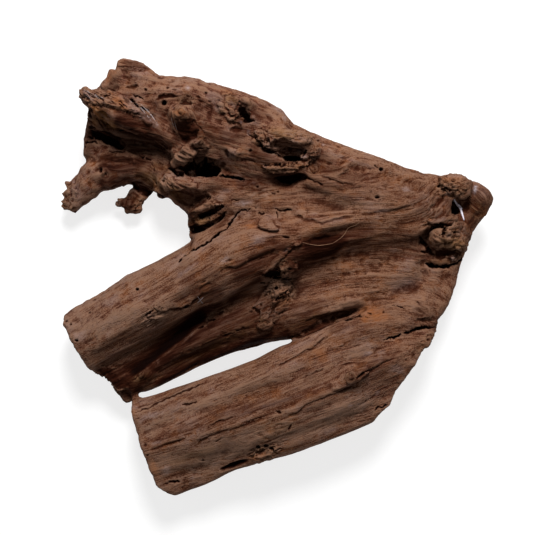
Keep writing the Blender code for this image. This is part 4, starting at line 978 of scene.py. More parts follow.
def carveForms(mesh):
    # lumps, hollows, grooves, ridges and steps wider than a few millimetres, and the shade painted in and
    # under them
    points = readPoints(mesh)
    normals = readNormals(mesh)
    across, down = toPicture(points)
    facing = smoothStep(normals[:, 2], -0.15, 0.25)
    shove = normals * 0.5 + np.array([0.0, 0.0, 0.5])
    shove /= np.linalg.norm(shove, axis=1)[:, None] + 1e-9
    lift = np.zeros(len(points))
    raised = np.zeros(len(points))
    paintedShade = np.zeros(len(points))
    broken = np.zeros(len(points))
    ragged = noiseAt(points, fray["raggedSize"], 11)
    crisp = noiseAt(points, fray["crispSize"], 16)

    def within(outline, margin, kind):
        # points near an outline, how far inside it, and how much its nearest side lies above
        chosen = nearLine(across, down, outline, margin)
        distance, above = outlineDistance(across[chosen], down[chosen], outline)
        coarse, fine = fray[kind]
        return chosen, distance + (coarse * ragged[chosen] + fine * crisp[chosen]), above

    def beside(line, margin):
        # points near a line, how far from it, how far along it, and on which side
        chosen = nearLine(across, down, line, margin)
        return chosen, *lineDistance(across[chosen], down[chosen], line)

    for height, rim, swell, outline in carving["plates"]:
        chosen, distance, above = within(outline, 6, "plates")
        soft = rim * (1 + 2.0 * np.clip(above, 0, 1) * (distance > 0))  # the upper rim is softer
        rise = smoothStep(distance / soft, -0.5, 0.5)
        deepen(broken, chosen, rise)
        lift[chosen] += 0.85 * height * rise + 0.35 * swell * (1 - np.exp(-np.maximum(distance, 0) / 4))
        # painted shadow under a plate's lower rim, as if the plate shaded the wood below it
        under = np.exp(-np.maximum(-distance, 0) / 1.1) * np.clip(above, 0, 1) * (distance < 0)
        deepen(paintedShade, chosen, 0.85 * under)
    for depth, rim, shade, outline in carving["pools"]:
        chosen, distance, above = within(outline, 6, "pools")
        # painted shade in each pool, slid under its upper rim
        lift[chosen] -= depth * smoothStep(distance / rim, -0.5, 0.6)
        distance -= 1.4 * above  # the shade lies under the upper rim
        deepen(paintedShade, chosen, shade * smoothStep(distance / rim, -0.5, 0.5))
    # painted shade laid over the wide places listed under shadows
    for shade, soft, outline in carving["shadows"]:
        chosen, distance = within(outline, soft, "shadows")[:2]
        deepen(paintedShade, chosen, shade * smoothStep(distance / soft, -0.6, 0.6))
    for x, y, half, width, turn, depth, steep, shade in carving["dents"]:
        radius = ovalRadius(across, down, x, y, half, width, turn) + 0.12 * ragged
        lift -= depth * smoothStep(-radius, -1.0, -1.0 + 1.0 / steep)
        # painted shade in each dent
        paintedShade = np.maximum(paintedShade, shade * smoothStep(-radius, -1.05, -0.55))
    for x, y, half, width, turn, height in carving["lumps"]:
        radius = ovalRadius(across, down, x, y, half, width, turn) + ragged * (0.1 if width < 9 else 0.015)
        lift += height * smoothStep(-radius, -1.1, -0.1)
    for width, height, line in carving["ridges"]:
        chosen, distance, place, side = beside(line, 12)
        reach = distance * view["pixelSize"] / millimetre / width
        lift[chosen] += height * (0.35 + 0.65 * taperEnds(place, 0.15, 0.15)) * np.exp(-reach * reach)
    for width, height, line in carving["rises"]:
        reach = lineDistance(across, down, line)[0] * view["pixelSize"] / millimetre / width
        raised += height * np.exp(-reach * reach)
    for height, reach, under, shade, line in carving["ledges"]:
        chosen, distance, place, side = beside(line, reach + 2)
        taper = taperEnds(place, 0.12, 0.12)
        signed = distance * side + 0.5 * ragged[chosen]
        ends = smoothStep(-distance, -reach, -reach * 0.3)
        step = smoothStep(signed, -0.7, 0.7) * np.clip(1 - signed / reach, 0, 1)
        below = np.exp(-(np.minimum(signed + 0.9, 0.0) / 2.2) ** 2) * smoothStep(-signed, 0.0, 1.0)
        lift[chosen] += taper * ends * (height * step - under * below)
        # painted shade below each step
        deepen(paintedShade, chosen, shade * taper * below * smoothStep(-distance, -3.5, -1.0))
    for width, depth, shade, line in carving["grooves"]:
        chosen, distance, place, side = beside(line, 26)
        reach = distance * view["pixelSize"] / millimetre / width
        fall = taperEnds(place, 0.15, 0.2) * np.exp(-reach * reach)
        lift[chosen] -= depth * fall
        # painted shade along each groove
        deepen(paintedShade, chosen, shade * smoothStep(fall, 0.15, 0.95))
    points += shove * (lift * facing * millimetre)[:, None]
    points[:, 2] += raised * facing * millimetre
    writePoints(mesh, points)
    return paintedShade * facing, broken * facing


def flakes(spots, size, seed):
    # broken scales of bark: each one at its own height, with a gap between neighbours
    spots = spots / np.array([size * 3.0, size, size * 1.8]) + 3.17 * seed
    bend = np.stack([noiseAt(spots, 1.3, one) for one in (61, 62, 63)], 1)
    spots = spots + 0.35 * bend
    height = np.empty(len(spots))
    for index, spot in enumerate(spots.tolist()):
        distances, centres = noise.voronoi(spot)
        near = centres[0]
        step = math.sin(near[0] * 12.9 + near[1] * 78.2 + near[2] * 37.7) * 437.58
        turn = 40.0 * step
        slope = math.cos(turn) * (spot[0] - near[0]) + math.sin(turn) * (spot[1] - near[1])
        gap = min((distances[1] - distances[0]) / 0.12, 1.0)
        height[index] = 1.1 * (step - math.floor(step)) - 0.55 + 1.1 * slope - 0.4 * (1 - gap)
    return height + 0.3 * noiseAt(spots, 0.45, 64)


# Noise of the skin: its size along, across and up the fibres in metres, and its seed
relief = {
    "swell": ((0.08, 0.011, 0.011), 1),
    "band": ((0.05, 0.0042, 0.0042), 2),
    "fine": ((0.022, 0.0019, 0.0019), 4),
    "split": ((0.035, 0.003, 0.003), 5),
    "chip": ((0.011, 0.0042, 0.0055), 17),
    "strand": ((0.013, 0.0017, 0.0017), 19),
}


def roughenSurface(mesh, field, broken):
    # ridges and furrows of the fibres, crumbling patches and ragged ends; heights in millimetres
    points = readPoints(mesh)
    normals = readNormals(mesh)
    across, down = toPicture(points)
    fibres = grainAt(points, field)
    facing = smoothStep(normals[:, 2], -0.3, 0.1)
    swell, band, fine, split, chip, strand = [noiseAt(fibres, *relief[kind]) for kind in relief]
    patch = noiseAt(points, 0.022, 6)
    furrow = np.exp(-(split / 0.07) ** 2) * smoothStep(patch, -0.25, 0.5)
    lift = 0.8 * swell * (0.3 + 0.7 * smoothStep(normals[:, 2], 0.1, 0.6))
    lift += 0.30 * band + 0.12 * fine - 0.30 * furrow
    root = smoothStep(-across - 0.9 * down, -420, -330)
    lump = noiseAt(points, 0.007, 7)
    crumb = noiseAt(points, 0.0032, 8)
    lift += root * (0.9 * lump + 0.25 * crumb)
    strands = 1 - 2.4 * np.abs(strand)
    worn = 0.6 * broken
    calm = np.zeros(len(points))
    for x, y, half, width, height, size in carving["blocks"]:
        radius = ovalRadius(across, down, x, y, half, width, 0)
        chosen = np.nonzero(radius < 1.15)[0]
        fall = smoothStep(-radius[chosen], -1.15, -0.7) * facing[chosen]
        spots = points[chosen] * np.array([1.8, 1.0, 1.2])
        lift[chosen] += fall * height * flakes(spots, size * millimetre, x + y)
        deepen(calm, chosen, fall)
        deepen(worn, chosen, fall)
    lift += 0.55 * broken * (0.5 - 1.7 * np.abs(chip) + 0.5 * strands * (1 - calm))
    for x, y, half, width, turn, height in carving["frayed"]:
        radius = ovalRadius(across, down, x, y, half, width, turn)
        lift += height * smoothStep(-radius, -1.15, -0.6) * strands * (1 - calm)
    for x, y, half, width, turn, height, size in carving["crumbles"]:
        radius = ovalRadius(across, down, x, y, half, width, turn)
        chosen = np.nonzero(radius < 1.15)[0]
        fall = smoothStep(-radius[chosen], -1.15, -0.6) * facing[chosen]
        lift[chosen] += fall * height * flakes(fibres[chosen], size * millimetre, x + y)
        deepen(worn, chosen, fall)
    for x, y, half, width, turn, jag in raggedEnds:
        radius = ovalRadius(across, down, x, y, half, width, turn)
        chosen = np.nonzero(radius < 1.3)[0]
        fall = smoothStep(-radius[chosen], -1.3, -0.6)
        spots = points[chosen] * np.array([1.0, 1.0, 0.35])
        teeth = 0.7 * noiseAt(spots, 0.0062, 40 + x) + 0.3 * noiseAt(spots, 0.0024, 50 + y)
        lift[chosen] += fall * jag * teeth
    points += normals * (lift * millimetre)[:, None]
    writePoints(mesh, points)
    return worn


def cutCracks(mesh, paintedShade):
    # narrow cracks and borer holes go almost straight down, and are painted dark with shade
    points = readPoints(mesh)
    normals = readNormals(mesh)
    across, down = toPicture(points)
    facing = smoothStep(normals[:, 2], 0.1, 0.45)
    jitter = noiseAt(points, 0.0025, 12)
    slide = noiseAt(points, 0.006, 13)
    drop = np.zeros(len(points))
    for width, depth, shade, line in carving["cracks"]:
        chosen = nearLine(across, down, line, 5)
        wavyAcross = across[chosen] + 1.1 * slide[chosen]
        wavyDown = down[chosen] + jitter[chosen]
        distance, place = lineDistance(wavyAcross, wavyDown, line)[:2]
        taper = 0.25 + 0.75 * smoothStep(place, 0.0, 0.2) * smoothStep(-place, -1.0, -0.8)
        taper *= 0.85 + 0.3 * slide[chosen]
        reach = distance * view["pixelSize"] / millimetre * 2 / (width * taper)
        deepen(drop, chosen, depth * taper * smoothStep(-reach, -1.25, -0.25))
        deepen(paintedShade, chosen, shade * smoothStep(-reach, -1.35, -0.6) * facing[chosen])
    for x, y, half, width, turn, depth in carving["pits"]:
        radius = ovalRadius(across, down, x, y, half, width, turn) + 0.1 * jitter
        radius += 0.25 * slide
        drop = np.maximum(drop, depth * smoothStep(-radius, -1.3, -0.6))
        # painted shade in each pit, darker the deeper it is
        paintedShade = np.maximum(paintedShade, min(1.0, 0.2 + depth / 6) * smoothStep(-radius, -1.4, -0.6) * facing)
    shove = normals * 0.3 + np.array([0.0, 0.0, 0.7])
    points -= shove * (drop * facing * millimetre)[:, None]
    points[:, 2] = np.maximum(points[:, 2], 0.0)
    writePoints(mesh, points)
    return paintedShade


def stainValues(mesh, kind):
    points = readPoints(mesh)
    across, down = toPicture(points)
    facing = smoothStep(readNormals(mesh)[:, 2], -0.2, 0.2)
    ragged = noiseAt(points, 0.0045, 14) * 0.3 + noiseAt(points, 0.0018, 15) * 0.25
    value = np.zeros(len(points))
    for x, y, half, width, turn, strength in stains[kind]:
        radius = ovalRadius(across, down, x, y, half, width, turn) + ragged
        value = np.maximum(value, strength * smoothStep(-radius, -1.25, -0.35))
    return value * facing


def smoothedPoints(mesh, points, turns):
    edges = np.empty(len(mesh.edges) * 2, np.int32)
    mesh.edges.foreach_get("vertices", edges)
    first, second = edges.reshape(-1, 2).T
    count = np.bincount(first, minlength=len(points)) + np.bincount(second, minlength=len(points))
    count = np.maximum(count, 1)
    for turn in range(turns):
        total = np.zeros_like(points)
        for axis in range(3):
            for one, other in ((first, second), (second, first)):
                total[:, axis] += np.bincount(one, points[other, axis], len(points))
        points = 0.4 * points + 0.6 * total / count[:, None]
    return points


def hollowness(mesh, turns, size):
    # positive in hollows, negative on high spots
    points = readPoints(mesh)
    normals = readNormals(mesh)
    away = smoothedPoints(mesh, points, turns) - points
    return np.clip((away * normals).sum(1) / (size * millimetre), -1.0, 1.0)


driftwood = {
    "voxel": 0.0008,
    "softening": 9,            # turns of smoothing that hide the facets
    "triangles": 192000,
    # turns of smoothing that find a hollow, and its usual depth in millimetres
    "hollow": (3, 0.25),
    "deep": (40, 2.0),
}


def makeDriftwood():
    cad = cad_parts["driftwood"]
    wood = bpy.data.objects.new("driftwoodBody", cad.data.copy())
    bpy.context.scene.collection.objects.link(wood)
    selectOnly(wood)
    bpy.ops.object.mode_set(mode="EDIT")
    bpy.ops.mesh.select_all(action="SELECT")
    bpy.ops.mesh.remove_doubles(threshold=0.00001)
    bpy.ops.object.mode_set(mode="OBJECT")
    addSpurs(wood)
    remesh = wood.modifiers.new("skin", "REMESH")
    remesh.mode = "VOXEL"
    remesh.voxel_size = driftwood["voxel"]
    applyModifiers(wood)
    mesh = wood.data
    points = smoothedPoints(mesh, readPoints(mesh), 1)
    near = spurNearness(points)[:, None]
    writePoints(mesh, near * points + (1 - near) * smoothedPoints(mesh, points, driftwood["softening"]))
    shiftRim(mesh)
    print("skin:", len(mesh.vertices), "points")
    field = grainField(readPoints(mesh))
    paintedShade, broken = carveForms(mesh)
    print("forms carved")
    worn = roughenSurface(mesh, field, broken)
    print("surface roughened")
    paintedShade = cutCracks(mesh, paintedShade)
    print("cracks cut")
    # painted shade, kept on the skin for the material
    writeValues(mesh, "paintedShade", paintedShade)
    writeValues(mesh, "worn", worn)
    thin = wood.modifiers.new("thin", "DECIMATE")
    mesh.calc_loop_triangles()
    thin.ratio = driftwood["triangles"] / len(mesh.loop_triangles)
    applyModifiers(wood)
    mesh = wood.data
    print("thinned:", len(mesh.vertices), "points", len(mesh.polygons), "faces")
    points = readPoints(mesh)
    points[:, 2] = np.maximum(points[:, 2], 0.0)
    writePoints(mesh, points)
    fibres = grainAt(points, field)
    layer = mesh.attributes.new("fibres", "FLOAT_VECTOR", "POINT")
    layer.data.foreach_set("vector", fibres.astype(np.float32).ravel())
    for kind in stains:
        writeValues(mesh, kind, stainValues(mesh, kind))
    for kind in ("hollow", "deep"):
        writeValues(mesh, kind, hollowness(mesh, *driftwood[kind]))
    across, down = toPicture(points)
    writeValues(mesh, "crown", smoothStep(-across - 0.9 * down, -440, -330))
    writeValues(mesh, "arms", smoothStep(down - 0.75 * across, 40, 190))
    for polygon in mesh.polygons:
        polygon.use_smooth = True
    return wood


# Materials
tones = {
    "darkLine": (0.0268, 0.0046, 0.0012),
    "brown": (0.0955, 0.0354, 0.0163),
    "lightBrown": (0.207, 0.1136, 0.0720),
    "olive": (0.140, 0.073, 0.038),
    "crownRed": (0.108, 0.0385, 0.0230),
    "orange": (0.240, 0.082, 0.022),
    "ochre": (0.205, 0.098, 0.022),
    "pale": (0.270, 0.195, 0.180),
    # the greyer tan of the painted light
    "paintedLightGrey": (0.215, 0.132, 0.094),
    "chalk": (0.520, 0.480, 0.520),
    # colours of painted shade: brown where it is light, near black where it is deepest
    "paintedShadowBrown": (0.0318, 0.0066, 0.0020),
    "paintedShadow": (0.0034, 0.0004, 0.0001),
    "armTint": (0.980, 1.018, 1.050),
    "coolTint": (0.955, 0.995, 1.080),
}


class Shade:
    # a node tree with short calls for the nodes this wood needs
    def __init__(self, tree):
        self.tree = tree

    def node(self, kind, **values):
        made = self.tree.nodes.new(kind)
        for name, value in values.items():
            setattr(made, name, value)
        return made

    def link(self, source, target):
        if isinstance(source, bpy.types.NodeSocket):
            self.tree.links.new(source, target)
        else:
            target.default_value = source

    def math(self, operation, first, second=0.5, third=0.5, clamp=False):
        made = self.node("ShaderNodeMath", operation=operation, use_clamp=clamp)
        for socket, value in zip(made.inputs, (first, second, third)):
            self.link(value, socket)
        return made.outputs[0]

    def times(self, first, second):
        return self.math("MULTIPLY", first, second)

    def ramp(self, value, low, high, newLow=0.0, newHigh=1.0):
        made = self.node("ShaderNodeMapRange", interpolation_type="SMOOTHSTEP")
        names = ("Value", "From Min", "From Max", "To Min", "To Max")
        for name, part in zip(names, (value, low, high, newLow, newHigh)):
            self.link(part, made.inputs[name])
        return made.outputs["Result"]

    def noise(self, vector, scale, detail=2.0, roughness=0.5, distortion=0.0):
        made = self.node("ShaderNodeTexNoise")
        self.link(vector, made.inputs["Vector"])
        made.inputs["Scale"].default_value = scale
        made.inputs["Detail"].default_value = detail
        made.inputs["Roughness"].default_value = roughness
        made.inputs["Distortion"].default_value = distortion
        return made.outputs["Fac"]

    def stretch(self, vector, amounts, shift=0.0):
        made = self.node("ShaderNodeVectorMath", operation="MULTIPLY")
        self.link(vector, made.inputs[0])
        made.inputs[1].default_value = amounts
        moved = self.node("ShaderNodeVectorMath", operation="ADD")
        self.link(made.outputs[0], moved.inputs[0])
        moved.inputs[1].default_value = (shift, shift, shift)
        return moved.outputs[0]

    def mix(self, amount, first, second, blend="MIX"):
        made = self.node("ShaderNodeMix", data_type="RGBA", blend_type=blend)
        self.link(amount, made.inputs["Factor"])
        for name, value in (("A", first), ("B", second)):
            socket = [one for one in made.inputs if one.name == name and one.type == "RGBA"][0]
            self.link(value if isinstance(value, bpy.types.NodeSocket) else (*value, 1.0), socket)
        return [one for one in made.outputs if one.type == "RGBA"][0]

    def attribute(self, name, output="Fac"):
        made = self.node("ShaderNodeAttribute", attribute_type="GEOMETRY", attribute_name=name)
        return made.outputs[output]

    def bump(self, height, strength, distance, shader):
        made = self.node("ShaderNodeBump")
        made.inputs["Strength"].default_value = strength
        made.inputs["Distance"].default_value = distance
        self.link(height, made.inputs["Height"])
        self.link(made.outputs["Normal"], shader.inputs["Normal"])

    def group(self, tree, **values):
        made = self.node("ShaderNodeGroup", node_tree=tree)
        for name, value in values.items():
            self.link(value, made.inputs[name])
        return made


def newGroup(name, vector, numbers, outputs):
    # a node group with one vector input, number inputs and number outputs
    tree = bpy.data.node_groups.new(name, "ShaderNodeTree")
    tree.interface.new_socket(vector, in_out="INPUT", socket_type="NodeSocketVector")
    for label in numbers:
        tree.interface.new_socket(label, in_out="INPUT", socket_type="NodeSocketFloat")
    for label in outputs:
        tree.interface.new_socket(label, in_out="OUTPUT", socket_type="NodeSocketFloat")
    shade = Shade(tree)
    return shade, shade.node("NodeGroupInput").outputs, shade.node("NodeGroupOutput").inputs


def newMaterial(name):
    material = bpy.data.materials.new(name)
    material.use_nodes = True
    shade = Shade(material.node_tree)
    shader = material.node_tree.nodes["Principled BSDF"]
    return material, shade, shader, shade.node("ShaderNodeTexCoord").outputs["Object"]


def makeStreakGroup():
    # long light and dark lines along the fibres, at four widths, and their relief
    shade, given, result = newGroup("fibreStreaks", "Fibres", (), ("Broad", "Line", "Hair", "Height"))
    fibres = given["Fibres"]
    broad = shade.noise(shade.stretch(fibres, (9, 120, 120)), 1.0, 2.0, 0.5, 0.4)
    line = shade.noise(shade.stretch(fibres, (22, 400, 400), 3.7), 1.0, 2.5, 0.6, 0.5)
    hair = shade.noise(shade.stretch(fibres, (48, 900, 900), 9.1), 1.0, 2.0, 0.65, 0.4)
    pore = shade.noise(shade.stretch(fibres, (120, 1300, 1300), 5.3), 1.0, 1.0, 0.5, 0.0)
    poreDip = shade.ramp(pore, 0.28, 0.44)
    fineHeight = shade.math("MULTIPLY_ADD", hair, 0.75, shade.times(poreDip, 0.35))
    height = shade.math("MULTIPLY_ADD", line, 0.8, fineHeight)
    shade.link(broad, result["Broad"])
    shade.link(line, result["Line"])
    shade.link(shade.times(hair, shade.math("MULTIPLY_ADD", poreDip, 0.4, 0.6)), result["Hair"])
    shade.link(height, result["Height"])
    return shade.tree


def makePaintedShadeGroup():
    # painted shade in the hollows and where it is given on the skin, broken up by the fibre lines
    shade, given, result = newGroup("paintedShadeGroup", "Place", ("Dark", "Hollow", "Deep", "Line"), ("Mask",))
    breakUp = shade.noise(given["Place"], 420.0, 3.0, 0.6)
    small = shade.ramp(given["Hollow"], 0.15, 0.95)
    large = shade.ramp(given["Deep"], 0.25, 0.95)
    # painted shade that grows with how hollow the wood is
    natural = shade.math("MAXIMUM", shade.times(small, 0.45), shade.times(large, 0.6))
    natural = shade.times(natural, shade.ramp(breakUp, 0.25, 0.6, 0.6, 1.0))
    fibre = shade.math("SUBTRACT", 0.5, given["Line"])
    fibre = shade.times(fibre, shade.math("SUBTRACT", 1.0, given["Dark"]))
    paintedShade = shade.math("MULTIPLY_ADD", shade.times(fibre, 3.4), given["Dark"], given["Dark"])
    shade.link(shade.math("MAXIMUM", natural, paintedShade, clamp=True), result["Mask"])
    return shade.tree


def makeBloomGroup():
    # mauve-grey weathering in broken patches on the high spots
    shade, given, result = newGroup("weatherBloom", "Place", ("Hollow", "Pale"), ("Mask",))
    patch = shade.noise(given["Place"], 48.0, 4.0, 0.62)
    speck = shade.noise(given["Place"], 900.0, 2.0, 0.6)
    spread = shade.times(shade.ramp(patch, 0.50, 0.72), shade.ramp(speck, 0.35, 0.65, 0.45, 1.0))
    high = shade.ramp(given["Hollow"], 0.35, -0.35)
    spread = shade.times(shade.times(spread, high), 0.28)
    placed = shade.times(given["Pale"], shade.ramp(speck, 0.30, 0.62, 0.30, 0.85))
    shade.link(shade.math("MAXIMUM", spread, placed, clamp=True), result["Mask"])
    return shade.tree


# What makes the wood lighter or darker, with painted shade in the hollows and painted light in the patches
# given for it, and how its fine relief catches the light
woodLook = {
    "broad": 0.42,
    "line": 0.38,
    "hair": 0.74,
    "grit": 0.95,
    # painted shade: how much darker the tone is in hollows
    "hollow": 0.13,
    # painted light: how much lighter the tone is in its patches
    "paintedLight": 0.15,
    "darker": 0.417,
    "shine": 0.05,
    "bump": 0.9,
    "bumpDepth": 0.0009,
}


def makeWoodMaterial(groups):
    material, shade, shader, place = newMaterial("weatheredDriftwood")
    streaks = shade.group(groups["streaks"], Fibres=shade.attribute("fibres", "Vector")).outputs
    hollow = shade.attribute("hollow")
    # painted shade: in the hollows and where it is given on the skin
    paintedShadow = shade.group(groups["paintedShading"], Dark=shade.attribute("paintedShade"), Hollow=hollow,
                       Deep=shade.attribute("deep"), Place=place,
                       Line=streaks["Line"]).outputs["Mask"]
    pale = shade.attribute("pale")
    bloom = shade.group(groups["bloom"], Place=place, Hollow=hollow, Pale=pale).outputs["Mask"]
    zone = shade.noise(place, 16.0, 3.0, 0.55)
    warm = shade.math("MULTIPLY_ADD", shade.ramp(zone, 0.35, 0.65), 0.45,
                      shade.times(shade.attribute("crown"), 0.6), clamp=True)
    grit = shade.noise(place, 1350.0, 2.0, 0.6)
    paintedLight = shade.attribute("paintedLight")
    fine = shade.math("MULTIPLY_ADD", streaks["Line"], woodLook["line"],
                      shade.times(streaks["Hair"], woodLook["hair"]))
    tone = shade.math("ADD", shade.times(streaks["Broad"], woodLook["broad"]), fine)
    # painted shade: the tone is darker in hollows
    tone = shade.math("SUBTRACT", tone, shade.times(hollow, woodLook["hollow"]))
    tone = shade.math("SUBTRACT", tone, woodLook["darker"])
    tone = shade.math("MULTIPLY_ADD", grit, woodLook["grit"], tone)
    # painted light: the tone is lighter in the patches given for it
    tone = shade.math("MULTIPLY_ADD", paintedLight, woodLook["paintedLight"], tone)
    light = shade.ramp(tone, 0.66, 1.02)
    darkLine = shade.ramp(tone, 0.78, 0.44)
    base = shade.mix(warm, tones["brown"], tones["crownRed"])
    worn = shade.times(shade.attribute("worn"), shade.ramp(hollow, 0.2, -0.3, 0.15, 0.75))
    base = shade.mix(worn, base, tones["olive"])
    rust = shade.noise(place, 75.0, 3.0, 0.6)
    base = shade.mix(shade.ramp(rust, 0.50, 0.72, 0.0, 0.45), base, tones["orange"])
    colour = shade.mix(shade.times(light, 0.9), base, tones["lightBrown"])
    colour = shade.mix(shade.times(darkLine, 0.85), colour, tones["darkLine"])
    streaked = shade.ramp(streaks["Line"], 0.25, 0.6, 0.45, 1.0)
    orange = shade.times(shade.attribute("orange"), streaked)
    colour = shade.mix(shade.times(orange, 0.75), colour, tones["orange"])
    ochre = shade.times(shade.attribute("ochre"), streaked)
    colour = shade.mix(shade.times(ochre, 0.70), colour, tones["ochre"])
    # painted light: those patches also turn greyer
    colour = shade.mix(shade.times(paintedLight, 0.22), colour, tones["paintedLightGrey"])
    colour = shade.mix(shade.attribute("arms"), colour, tones["armTint"], "MULTIPLY")
    cool = shade.ramp(shade.noise(place, 260.0, 3.0, 0.7), 0.48, 0.68)
    colour = shade.mix(cool, colour, tones["coolTint"], "MULTIPLY")
    colour = shade.mix(bloom, colour, tones["pale"])
    chalk = shade.times(shade.ramp(pale, 1.0, 1.5), shade.ramp(grit, 0.35, 0.6))
    colour = shade.mix(chalk, colour, tones["chalk"])
    # painted shade: brown, then near black where it is deepest
    colour = shade.mix(shade.ramp(paintedShadow, 0.0, 0.75), colour, tones["paintedShadowBrown"])
    colour = shade.mix(shade.ramp(paintedShadow, 0.50, 1.0), colour, tones["paintedShadow"])
    shade.link(colour, shader.inputs["Base Color"])
    shade.link(shade.ramp(tone, 0.4, 1.0, 0.92, 0.70), shader.inputs["Roughness"])
    shader.inputs["Specular IOR Level"].default_value = woodLook["shine"]
    height = shade.math("MULTIPLY_ADD", grit, 0.45, streaks["Height"])
    shade.bump(height, woodLook["bump"], woodLook["bumpDepth"], shader)
    return material


def makeFibreMaterial(name, groups, colour, light):
    # for the rootlets, splinters and bleached slivers that lie on the wood
    material, shade, shader, place = newMaterial(name)
    streaks = shade.group(groups["streaks"], Fibres=place).outputs
    bloom = shade.group(groups["bloom"], Place=place, Hollow=-0.4, Pale=0.0).outputs["Mask"]
    tone = shade.ramp(streaks["Hair"], 0.15, 0.55)
    mixed = shade.mix(tone, colour, light)
    mixed = shade.mix(bloom, mixed, tones["pale"])
    shade.link(mixed, shader.inputs["Base Color"])
    shade.link(shade.ramp(streaks["Line"], 0.3, 0.7, 0.9, 0.7), shader.inputs["Roughness"])
    shader.inputs["Specular IOR Level"].default_value = 0.12
    shade.bump(streaks["Height"], 0.7, 0.0003, shader)
    return material


# Slight things that lie on the wood: each a bent thread, seated where the camera sees it
threads = {
    "rootlet": {
        "radius": 0.00025,
        "colour": (0.110, 0.056, 0.032),
        "light": (0.215, 0.122, 0.074),
        "lines": (
            ((356, 214.4), (358.2, 218.6), (359.6, 222.5), (355.4, 225.3), (349, 227), (346.3, 230.5),
             (344.9, 234), (339.7, 239.2), (332.7, 243.4)),
            ((332.7, 243.4), (322.2, 245.5), (315.2, 245.5), (302.5, 242.7)),
        ),
    },
    "whiteStreak": {
        "radius": 0.00085,
        "colour": (0.300, 0.260, 0.280),
        "light": (0.600, 0.560, 0.620),
        "lines": (
            ((454.2, 199.5), (456.5, 204), (459.6, 207.0), (461.2, 210.6), (462.4, 215), (464, 220.5)),
            ((456.8, 203.6), (460.6, 206.4), (461.8, 209)),
        ),
    },
    "crossedFibre": {
        "radius": 0.00028,
        "colour": (0.150, 0.120, 0.120),
        "light": (0.300, 0.260, 0.270),
        "lines": (
            ((197.6, 296.5), (200.2, 300.2), (202.8, 303.6)),
            ((203, 297.6), (200, 300.4), (197.4, 303)),
        ),
    },
    "hornFibres": {
        "radius": 0.00026,
        "colour": (0.180, 0.120, 0.105),
        "light": (0.400, 0.330, 0.320),
        "lines": (
            ((137, 104), (144, 110), (150, 117.5)), ((141, 104.5), (149, 112), (157, 123)),
            ((146, 108.5), (152, 114), (158, 126)), ((139, 106.5), (146, 113.5), (151, 121)),
            ((84, 90), (92, 93.5), (100, 99)), ((83, 93.5), (90, 97.5), (96, 103.5)),
            ((87, 90.5), (95, 95), (103, 98)), ((125, 98), (131, 101), (137, 107)),
            ((171, 110), (170.5, 118), (174, 127)), ((173.5, 107.5), (172.5, 117), (177, 130)),
        ),
    },
}


def seatOn(wood, x, y, height):
    # the spot of the wood that the camera sees at one pixel, raised a little above its skin
    eye = Vector((cameraX, cameraY, view["cameraHeight"]))
    aim = (fromPicture(x, y, 0.0) - eye).normalized()
    spot, normal = wood.ray_cast(eye, aim)[1:3]
    return spot + normal * height


def makeThread(wood, name):
    thread = threads[name]
    bpy.ops.object.select_all(action="DESELECT")
    bpy.ops.curve.primitive_nurbs_path_add()
    strand = bpy.context.object
    strand.name = name
    curve = strand.data
    curve.splines.clear()
    for line in thread["lines"]:
        spline = curve.splines.new("NURBS")
        spline.points.add(len(line) - 1)
        for point, (x, y) in zip(spline.points, line):
            point.co = (*seatOn(wood, x, y, 0.3 * thread["radius"]), 1.0)
        spline.points[0].radius = 0.45
        spline.points[-1].radius = 0.45
        spline.order_u = 3
        spline.use_endpoint_u = True
        spline.resolution_u = 6
    curve.bevel_depth = thread["radius"]
    curve.bevel_resolution = 3
    curve.use_fill_caps = True
    selectOnly(strand)
    bpy.ops.object.convert(target="MESH")
    bpy.ops.object.mode_set(mode="EDIT")
    bpy.ops.mesh.select_all(action="SELECT")
    bpy.ops.mesh.remove_doubles(threshold=0.00002)
    bpy.ops.mesh.normals_make_consistent(inside=False)
    bpy.ops.object.mode_set(mode="OBJECT")
    bpy.ops.object.shade_smooth()
    strand.data.materials.clear()
    strand.data.materials.append(makeFibreMaterial(name, groups, thread["colour"], thread["light"]))
    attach(strand, "root")


# Floor, light and camera
studio = {
    "floorSize": 10.0,
    "floorGlow": 0.78,
    "floorDark": (0.23, 0.23, 0.23),
    "floorLight": (0.25, 0.25, 0.25),
    "mottleScale": 60.0,
    "keyPower": 54.0,
    "keySize": 0.7,
    "keyPlace": (0.10, 1.22, 1.40),
    "fillPower": 0.26,
    "contrast": 0.90,
}


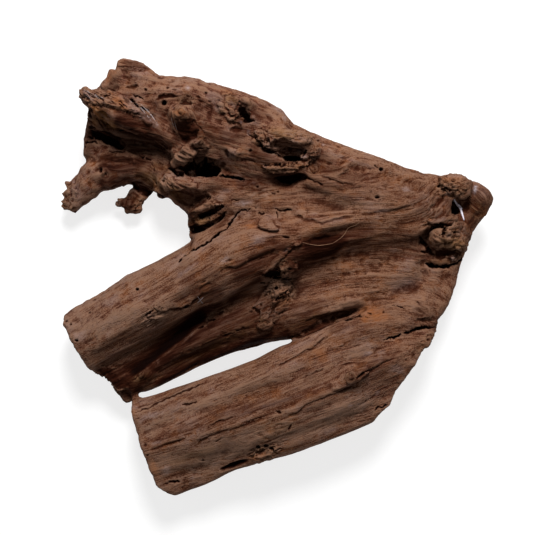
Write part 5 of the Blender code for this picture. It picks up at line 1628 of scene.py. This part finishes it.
def makeFloor():
    bpy.ops.mesh.primitive_plane_add(size=studio["floorSize"])
    floor = bpy.context.object
    floor.name = "paleFloor"
    material, shade, shader, place = newMaterial("paleFloor")
    mottle = shade.noise(place, studio["mottleScale"], 2.0)
    colour = shade.mix(mottle, studio["floorDark"], studio["floorLight"])
    shade.link(colour, shader.inputs["Base Color"])
    shader.inputs["Roughness"].default_value = 0.9
    shader.inputs["Emission Color"].default_value = (1.0, 1.0, 1.0, 1.0)
    shader.inputs["Emission Strength"].default_value = studio["floorGlow"]
    floor.data.materials.append(material)


def makeLights():
    world = bpy.data.worlds.new("studio")
    bpy.context.scene.world = world
    world.use_nodes = True
    back = world.node_tree.nodes["Background"]
    back.inputs["Color"].default_value = (1.0, 1.0, 1.0, 1.0)
    back.inputs["Strength"].default_value = studio["fillPower"]
    key = bpy.data.lights.new("key", "AREA")
    key.shape = "DISK"
    key.size = studio["keySize"]
    key.energy = studio["keyPower"]
    lamp = bpy.data.objects.new("key", key)
    bpy.context.scene.collection.objects.link(lamp)
    lamp.location = studio["keyPlace"]
    lamp.rotation_euler = (-Vector(studio["keyPlace"])).to_track_quat("-Z", "Y").to_euler()


def makeCamera():
    lens = bpy.data.cameras.new("camera")
    lens.sensor_width = view["sensor"]
    lens.lens = pixelsAtOneMetre * view["sensor"] / view["imageHeight"]
    camera = bpy.data.objects.new("camera", lens)
    bpy.context.scene.collection.objects.link(camera)
    camera.location = (cameraX, cameraY, view["cameraHeight"])
    bpy.context.scene.camera = camera


bpy.context.scene.view_settings.view_transform = "Standard"
bpy.context.scene.view_settings.gamma = studio["contrast"]
makeCamera()
makeLights()
makeFloor()
print("studio ready")

groups = {"streaks": makeStreakGroup(), "paintedShading": makePaintedShadeGroup(), "bloom": makeBloomGroup()}
wood = makeDriftwood()
wood.data.materials.clear()
wood.data.materials.append(makeWoodMaterial(groups))
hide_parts("driftwood")
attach(wood, "root")
print("driftwood ready")
for name in threads:
    makeThread(wood, name)
print("threads ready")
